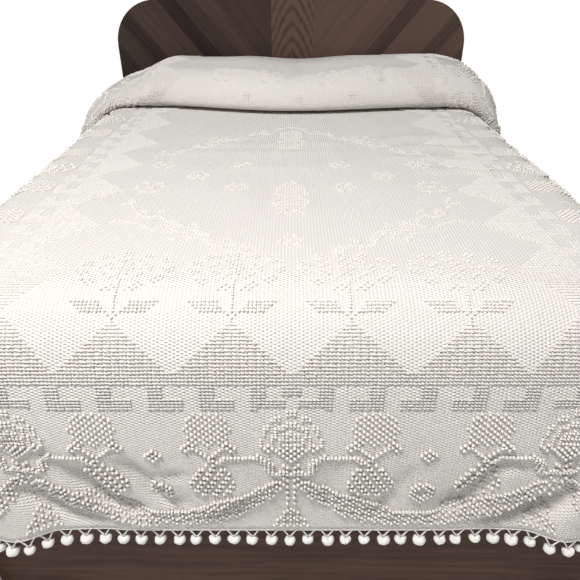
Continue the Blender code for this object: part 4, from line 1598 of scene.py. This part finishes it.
    def build_tufts(self, name: str, kind: Tuft, span: tuple[float, float],
                    finish: bpy.types.Material, seed: int) -> bpy.types.Object:
        """Build the stitches of one kind in a strip of the cloth as one mesh.

        Args:
            name: the piece's name.
            kind: the stitch.
            span: first and last u of the strip.
            finish: its material.
            seed: start of its small random differences.

        Returns:
            The object. Each tuft is a dome on the cloth: two rings of six
            corners, the upper one smaller. A dash is flat on top, and the others
            end in one top point.
        """
        u, v = self.chart.cells(kind)
        keep = self._on_cloth(u, v) & (u >= span[0]) & (u < span[1])
        u, v = u[keep], v[keep]
        rng = np.random.default_rng(seed)
        u = u + rng.normal(0.0, self.stray, len(u))
        v = v + rng.normal(0.0, self.stray, len(v))
        place, across, along, normal = self.drape.spots(u, v)
        scale = 1.0 + rng.normal(0.0, self.uneven, (len(u), 3))
        turn = np.arange(6) * math.pi / 3
        flat_top = kind is Tuft.DASH
        rings = ((1.0, 0.0), (0.55, 0.80)) if flat_top else ((0.95, 0.0), (0.84, 0.64))
        shape = [(w * math.cos(a), w * math.sin(a), h) for w, h in rings for a in turn]
        if not flat_top:
            shape.append((0.0, 0.0, 1.0))
        shape = np.array(shape)
        half_u, half_v, high = self.sizes[kind]
        local = shape[None] * scale[:, None, :] * np.array([half_u, half_v, high + self.sink])
        if kind is not Tuft.POPCORN:
            lean = self.dash_lean if kind is Tuft.DASH else self.dot_lean
            cos, sin = math.cos(lean), math.sin(lean)
            wide = local[..., 0] * cos - local[..., 1] * sin
            long = local[..., 0] * sin + local[..., 1] * cos
            local = np.stack([wide, long, local[..., 2]], axis=-1)
        points = place[:, None, :] - normal[:, None, :] * self.sink
        points = points + across[:, None, :] * local[..., 0:1]
        points = points + along[:, None, :] * local[..., 1:2] + normal[:, None, :] * local[..., 2:3]
        faces: list[tuple[int, ...]] = []
        for k in range(6):
            n = (k + 1) % 6
            faces.append((k, n, n + 6, k + 6))
            if not flat_top:
                faces.append((k + 6, n + 6, 12))
        if flat_top:
            faces.append(tuple(range(6, 12)))
        made = mesh_object(name, points.reshape(-1, 3), repeated(faces, len(u), len(shape)), finish)
        # each corner's share of its tuft's height, which the tuft materials use to paint shade at the foot
        rise = made.data.attributes.new("rise", "FLOAT", "POINT")
        rise.data.foreach_set("value", np.tile(shape[:, 2], len(u)).astype(np.float32))
        return made


@dataclass
class BallFringe:
    """The ball fringe along the hems: a heading braid, strings and cotton balls."""

    spread: Spread
    pitch: float = 0.0362
    radius: float = 0.0116
    drop: float = 0.0308
    string: float = 0.0017
    spread_wide: float = 0.0162
    rings: int = 9
    around: int = 14
    end_margin: float = 0.015
    probe: float = 0.006
    dent: tuple[float, float] = (0.50, 0.34)
    point: float = 0.16
    squeeze: float = 0.20
    uneven: float = 0.05
    string_points: int = 5
    string_sides: int = 5
    string_bend: float = -0.0006
    heading_radius: float = 0.0021
    heading_hang: float = 0.0016
    heading_ripple: tuple[float, float] = (0.15, 0.0095)
    heading_points: int = 1500
    heading_sides: int = 8

    def hem(self) -> Array:
        """Return the hem's places, from the left head corner to the right one."""
        rim = self.spread.rim(self.spread.rows())
        fine = np.linspace(0, len(rim) - 1, 3000)
        rim = np.column_stack([np.interp(fine, np.arange(len(rim)), rim[:, k]) for k in range(4)])
        rim[:, 2:] /= np.hypot(rim[:, 2], rim[:, 3])[:, None]
        far = self.spread.hem_reach(np.arctan2(np.abs(rim[:, 2]), rim[:, 3]))
        return self.spread.drape.place(rim[:, 0] + rim[:, 2] * far, rim[:, 1] - rim[:, 3] * far)

    def _places(self, line: Array) -> tuple[Array, Array]:
        """Return where the balls hang, and the hem's direction there.

        Args:
            line: the hem's points.

        Returns:
            Evenly pitched points along the hem in plan, and unit directions.
        """
        length = running_length(line)
        free = length[-1] - 2 * self.end_margin
        count = int(free / self.pitch)
        spots = self.end_margin + (np.arange(count) + 0.5) * free / count
        way = read_line(spots + self.probe, length, line) - read_line(spots - self.probe, length, line)
        way[:, 2] = 0.0
        way /= np.linalg.norm(way, axis=1)[:, None]
        return read_line(spots, length, line), way

    def build_balls(self, finish: bpy.types.Material) -> bpy.types.Object:
        """Build the balls.

        Args:
            finish: their material.

        Returns:
            One mesh. Each ball is a sphere grid, dented on top where its strings
            part, drawn in a little below, and ruffled by seeded noise.
        """
        spots, way = self._places(self.hem())
        rng = np.random.default_rng(11)
        count = len(spots)
        tilt = np.linspace(0.0, math.pi, self.rings + 1)[1:-1]
        turn = np.arange(self.around) * 2 * math.pi / self.around
        grid_t, grid_a = np.meshgrid(tilt, turn, indexing="ij")
        unit = np.stack([
            np.sin(grid_t) * np.cos(grid_a),
            np.sin(grid_t) * np.sin(grid_a),
            np.cos(grid_t),
        ], axis=-1).reshape(-1, 3)
        unit = np.concatenate([unit, [[0.0, 0.0, 1.0], [0.0, 0.0, -1.0]]])
        deep, wide = self.dent
        dent = deep * np.exp(-((unit[:, 0] / wide) ** 2)) * smooth(unit[:, 2], 0.25, 1.0)
        point = self.point * smooth(-unit[:, 2], 0.3, 1.0)
        squeeze = 1.0 - self.squeeze * smooth(-unit[:, 2], 0.0, 0.9)
        body = unit * np.column_stack([squeeze, squeeze, np.ones(len(unit))])
        body[:, 2] += -dent - point
        size = self.radius * (1.0 + rng.normal(0.0, self.uneven, (count, 1, 1)))
        ruffle = 1.0 + rng.normal(0.0, self.uneven, (count, len(unit), 1))
        local = body[None] * size * ruffle * np.array([1.03, 0.98, 0.92])
        spin = rng.uniform(-0.5, 0.5, count)
        out = np.column_stack([way[:, 1], -way[:, 0], np.zeros(count)])
        along = way * np.cos(spin)[:, None] + out * np.sin(spin)[:, None]
        side = out * np.cos(spin)[:, None] - way * np.sin(spin)[:, None]
        sway = way * rng.normal(0.0, 0.0012, (count, 1)) + out * rng.normal(0.0, 0.0008, (count, 1))
        middle = spots + sway
        middle[:, 2] -= self.drop
        points = middle[:, None] + along[:, None] * local[..., 0:1]
        points = points + side[:, None] * local[..., 1:2]
        points[..., 2] += local[..., 2]
        faces = ring_quads(self.rings - 1, self.around)[:, [0, 3, 2, 1]].tolist()
        top, low = len(unit) - 2, len(unit) - 1
        last = (self.rings - 2) * self.around
        for k in range(self.around):
            n = (k + 1) % self.around
            faces.append((top, k, n))
            faces.append((low, last + n, last + k))
        all_faces = repeated(faces, count, len(unit))
        return mesh_object("fringe_balls", points.reshape(-1, 3), all_faces, finish)

    def build_strings(self, finish: bpy.types.Material) -> bpy.types.Object:
        """Build two strings for each ball, spread like a V from the ball to the hem.

        Args:
            finish: their material.

        Returns:
            One mesh of five-sided tubes, each carried along a bent path.
        """
        spots, way = self._places(self.hem())
        share = np.linspace(0.0, 1.0, self.string_points)
        points = []
        out = np.column_stack([way[:, 1], -way[:, 0], np.zeros(len(way))])
        for sign in (-1.0, 1.0):
            foot = spots.copy()
            foot[:, 2] -= self.drop - self.radius * 0.45
            head = spots + way * sign * self.spread_wide - out * 0.0012
            head[:, 2] += 0.002
            mid = way * sign * self.string_bend
            bend = np.sin(share * math.pi)[None, :, None]
            path = foot[:, None] * (1 - share)[None, :, None] + head[:, None] * share[None, :, None]
            path = path + mid[:, None] * bend
            for k in range(self.string_sides):
                turn = 2 * math.pi * k / self.string_sides
                ring = way * math.cos(turn) + out * math.sin(turn)
                points.append(path + ring[:, None] * self.string)
        count = len(spots)
        table = np.stack(points, axis=2)
        flat = table.reshape(count, self.string_points, 2, self.string_sides, 3).transpose(2, 0, 1, 3, 4)
        tube = tube_faces(self.string_points, self.string_sides)
        faces = repeated(tube, 2 * count, self.string_points * self.string_sides)
        return mesh_object("fringe_strings", flat.reshape(-1, 3), faces, finish)

    def build_heading(self, finish: bpy.types.Material) -> bpy.types.Object:
        """Build the narrow heading braid along the hem.

        Args:
            finish: its material.

        Returns:
            A rounded cord with the slow ripple of a braid, carried along the hem.
        """
        line = self.hem()
        length = running_length(line)
        places = np.linspace(0.004, length[-1] - 0.004, self.heading_points)
        path = read_line(places, length, line)
        way = np.gradient(path, axis=0)
        way /= np.linalg.norm(way, axis=1)[:, None]
        out = np.cross(way, np.array([0.0, 0.0, 1.0]))
        out /= np.linalg.norm(out, axis=1)[:, None]
        above = np.cross(out, way)
        high, long = self.heading_ripple
        radius = self.heading_radius * (1.0 + high * np.cos(places * 2 * math.pi / long))[:, None]
        rings = []
        for k in range(self.heading_sides):
            turn = 2 * math.pi * k / self.heading_sides
            ring = path + out * radius * math.cos(turn) * 0.8
            rings.append(ring + above * (radius * math.sin(turn) - self.heading_hang))
        points = np.stack(rings, axis=1).reshape(-1, 3)
        faces = tube_faces(self.heading_points, self.heading_sides)
        return mesh_object("fringe_heading", points, faces, finish)


@dataclass(frozen=True)
class Stage:
    """Camera, floor and soft studio light."""

    bed: BedSizes
    cloth: ClothSizes
    back: float = 0.664
    above: float = 0.455
    tilt: float = 59.0
    focus: float = 545.0
    picture: int = 580
    shift: float = -1.0
    overhead: float = 0.18
    horizon: tuple[float, float] = (0.06, 0.16)
    glow_run: tuple[float, float] = (0.3, 1.3)
    glow: float = 0.85
    floor_half: float = 30.0

    def camera(self) -> bpy.types.Object:
        """Set up the camera at the photograph's viewing angle.

        Returns:
            The camera, with its lens worked out for a picture 580 pixels wide.
        """
        data = bpy.data.cameras.new("camera")
        data.sensor_width = 36.0
        data.lens = 36.0 * self.focus / self.picture
        data.shift_x = self.shift / self.picture
        data.clip_end = 60.0
        made = bpy.data.objects.new("camera", data)
        y = self.bed.foot_y - self.cloth.foot_gap - self.back
        made.location = (0.0, y, self.bed.top_height + self.above)
        made.rotation_euler = (math.radians(self.tilt), 0.0, 0.0)
        bpy.context.collection.objects.link(made)
        bpy.context.scene.camera = made
        return made

    def floor(self) -> bpy.types.Object:
        """Lay a plain pale floor that glows white behind the bed, like a lit studio cove."""
        sheet = NodeSheet("floor")
        sheet.set(Base_Color=(0.90, 0.90, 0.89, 1.0), Roughness=0.9, Emission_Color=(1.0, 1.0, 1.0, 1.0))
        y = sheet.split(sheet.place())[1]
        glow = sheet.node("ShaderNodeMapRange")
        glow.inputs["From Min"].default_value, glow.inputs["From Max"].default_value = self.glow_run
        glow.inputs["To Max"].default_value = self.glow
        sheet.link(y, glow.inputs["Value"])
        sheet.link(glow.outputs[0], sheet.shader.inputs["Emission Strength"])
        half = self.floor_half
        corners = np.array([(-half, -half, 0.0), (half, -half, 0.0), (half, half, 0.0), (-half, half, 0.0)])
        made = mesh_object("floor", corners, [(0, 1, 2, 3)], sheet.material)
        return made

    def _area(self, name: str, place: tuple, aim: tuple, size: tuple[float, float], power: float) -> None:
        """Hang one soft light.

        Args:
            name: the light's name.
            place: where it hangs.
            aim: the point that it faces.
            size: its sides.
            power: its strength in watts.
        """
        data = bpy.data.lights.new(name, "AREA")
        data.shape = "RECTANGLE"
        data.size, data.size_y = size
        data.energy = power
        made = bpy.data.objects.new(name, data)
        made.location = place
        way = np.array(aim, float) - np.array(place, float)
        flat = math.hypot(way[0], way[1])
        made.rotation_euler = (math.atan2(flat, -way[2]), 0.0, math.atan2(way[1], way[0]) - math.pi / 2)
        bpy.context.collection.objects.link(made)

    def world(self) -> None:
        """Set the surroundings: white at the horizon, softer overhead."""
        world = bpy.data.worlds.new("studio")
        world.use_nodes = True
        tree = world.node_tree
        way = tree.nodes.new("ShaderNodeTexCoord")
        apart = tree.nodes.new("ShaderNodeSeparateXYZ")
        tree.links.new(way.outputs["Generated"], apart.inputs[0])
        height = tree.nodes.new("ShaderNodeMapRange")
        height.inputs["From Min"].default_value, height.inputs["From Max"].default_value = self.horizon
        height.inputs["To Min"].default_value = 1.0
        height.inputs["To Max"].default_value = self.overhead
        tree.links.new(apart.outputs[2], height.inputs["Value"])
        tree.links.new(height.outputs[0], tree.nodes["Background"].inputs[1])
        tree.nodes["Background"].inputs[0].default_value = (1.0, 1.0, 1.0, 1.0)
        bpy.context.scene.world = world

    def light(self) -> None:
        """Set the surroundings and the soft lights."""
        self.world()
        self._area("key", (-0.52, -1.78, 3.2), (0.0, -0.7, 0.6), (0.95, 0.26), 99.0)
        self._area("side", (-2.6, -1.6, 1.6), (0.0, -1.0, 0.6), (0.6, 0.6), 7.0)
        settings = bpy.context.scene.view_settings
        settings.view_transform = "Standard"
        settings.look = "None"


WRINKLES: tuple[Crease, ...] = (
    # right half of the drop: the swag's ridge, the trough under it, and two beside the discs
    Crease(((0.500, 0.190), (0.451, 0.116), (0.425, 0.081), (0.386, 0.062), (0.310, 0.058)), 0.010, 0.015),
    Crease(((0.560, 0.150), (0.486, 0.086), (0.446, 0.060), (0.405, 0.038), (0.345, 0.024)), -0.019, 0.021),
    Crease(((0.365, 0.170), (0.332, 0.122), (0.298, 0.081), (0.262, 0.045)), -0.013, 0.016),
    Crease(((0.330, 0.150), (0.362, 0.183), (0.395, 0.190), (0.435, 0.160)), -0.008, 0.012),
    Crease(((0.235, 0.200), (0.190, 0.130), (0.165, 0.070), (0.150, 0.040)), -0.006, 0.014),
    # left half
    Crease(((-0.405, 0.200), (-0.372, 0.150), (-0.330, 0.085), (-0.250, 0.035)), -0.018, 0.020),
    Crease(((-0.400, 0.130), (-0.360, 0.070), (-0.300, 0.040), (-0.240, 0.020)), 0.008, 0.014),
    Crease(((-0.300, 0.215), (-0.262, 0.150), (-0.235, 0.090), (-0.180, 0.066)), -0.013, 0.015),
    Crease(((-0.245, 0.165), (-0.215, 0.158), (-0.180, 0.170)), -0.008, 0.010),
    Crease(((-0.520, 0.140), (-0.450, 0.080), (-0.395, 0.036), (-0.320, 0.018)), -0.014, 0.017),
    Crease(((-0.070, 0.150), (-0.110, 0.095), (-0.180, 0.050)), 0.006, 0.016),
    Crease(((0.080, 0.205), (0.066, 0.130), (0.075, 0.050)), -0.006, 0.013),
    # small folds over the pillows
    Crease(((0.315, 2.010), (0.325, 2.080), (0.330, 2.170), (0.350, 2.260)), -0.006, 0.012),
    Crease(((-0.055, 2.110), (0.040, 2.190), (0.020, 2.330)), -0.005, 0.013),
    Crease(((-0.330, 2.120), (-0.180, 2.160), (-0.020, 2.130)), 0.004, 0.014),
    Crease(((0.120, 2.130), (0.240, 2.170), (0.400, 2.140)), 0.004, 0.014),
    # faint waves across the top, towards the pillows
    Crease(((-0.30, 1.340), (-0.12, 1.325), (0.05, 1.335), (0.22, 1.330)), 0.0045, 0.018),
    Crease(((-0.38, 1.260), (-0.20, 1.245), (0.02, 1.250), (0.20, 1.262)), 0.0040, 0.020),
    Crease(((-0.28, 1.110), (-0.10, 1.122), (0.12, 1.108)), 0.0035, 0.022),
    Crease(((0.22, 1.345), (0.36, 1.395), (0.46, 1.400), (0.56, 1.370)), 0.0085, 0.016),
    Crease(((0.22, 1.270), (0.36, 1.300), (0.50, 1.295), (0.60, 1.255)), 0.0080, 0.016),
    Crease(((0.20, 1.180), (0.34, 1.205), (0.50, 1.190), (0.62, 1.140)), 0.0070, 0.018),
    Crease(((0.30, 1.080), (0.42, 1.100), (0.58, 1.070)), 0.0060, 0.018),
)


@dataclass
class Bed:
    """The whole scene: the bed's own solids, and the spread and fringe over them."""

    frame: dict
    effects: Effects = field(default_factory=Effects)

    def dress_solids(self) -> None:
        """Give the bed's solids their finishes."""
        veneer = Veneer(self.effects)
        board = veneer.plain()
        ticking = Ticking(self.effects).finish()
        finishes = {"headboard": veneer.headboard()}
        for name in ("foot_panel", "side_rail_left", "side_rail_right", "deck", "centre_leg"):
            finishes[name] = board
        for name in ("mattress", "pillow_left", "pillow_right"):
            finishes[name] = ticking
        for name, finish in finishes.items():
            node = self.frame["nodes"][name]
            node.data.materials.clear()
            node.data.materials.append(finish)
            LOG.info("%s has the finish %s", name, finish.name)

    def dress_spread(self) -> None:
        """Build the sheet, its tufts and its fringe, and say what each is."""
        drape = Drape(wrinkles=WRINKLES)
        chart = Chart(drape.cloth.width, drape.cloth.length)
        cotton = Cotton(self.effects, chart.rib, chart.row)
        spread = Spread(drape, chart)
        sheet = spread.build_sheet(cotton.ground())
        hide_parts("bedspread")
        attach(sheet, "root")
        # the third number sets how far painted shade reaches up from each tuft's root
        low = cotton.tuft("chenille low tuft", 1400.0, 0.50, 0.90)
        high = cotton.tuft("chenille high tuft", 1400.0, 0.75, 1.05)
        strips = (
            ("tufts_dash_left", Tuft.DASH, (-2.0, -0.2), low, 3),
            ("tufts_dash_middle", Tuft.DASH, (-0.2, 0.2), low, 3),
            ("tufts_dash_right", Tuft.DASH, (0.2, 2.0), low, 3),
            ("tufts_dot", Tuft.DOT, (-2.0, 2.0), high, 5),
            ("tufts_popcorn_left", Tuft.POPCORN, (-2.0, 0.0), high, 7),
            ("tufts_popcorn_right", Tuft.POPCORN, (0.0, 2.0), high, 7),
        )
        pieces = [spread.build_tufts(*strip) for strip in strips]
        fringe = BallFringe(spread)
        ball = cotton.tuft("fringe cotton", 900.0, 0.0, 0.89)
        balls = fringe.build_balls(ball)
        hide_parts("fringe_foot", "fringe_left", "fringe_right")
        edging = [balls, fringe.build_strings(ball), fringe.build_heading(ball)]
        for piece in (*pieces, *edging):
            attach(piece, "root")
        for piece in (sheet, *pieces, *edging):
            LOG.info("%s has %d faces", piece.name, len(piece.data.polygons))


def main() -> None:
    """Load the frame, build the scene around it and note its size."""
    logging.basicConfig(level=logging.INFO)
    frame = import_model()
    bed = Bed(frame)
    stage = Stage(BedSizes(), ClothSizes())
    stage.camera()
    bed.dress_solids()
    bed.dress_spread()
    stage.floor()
    stage.light()


if __name__ == "__main__":
    main()
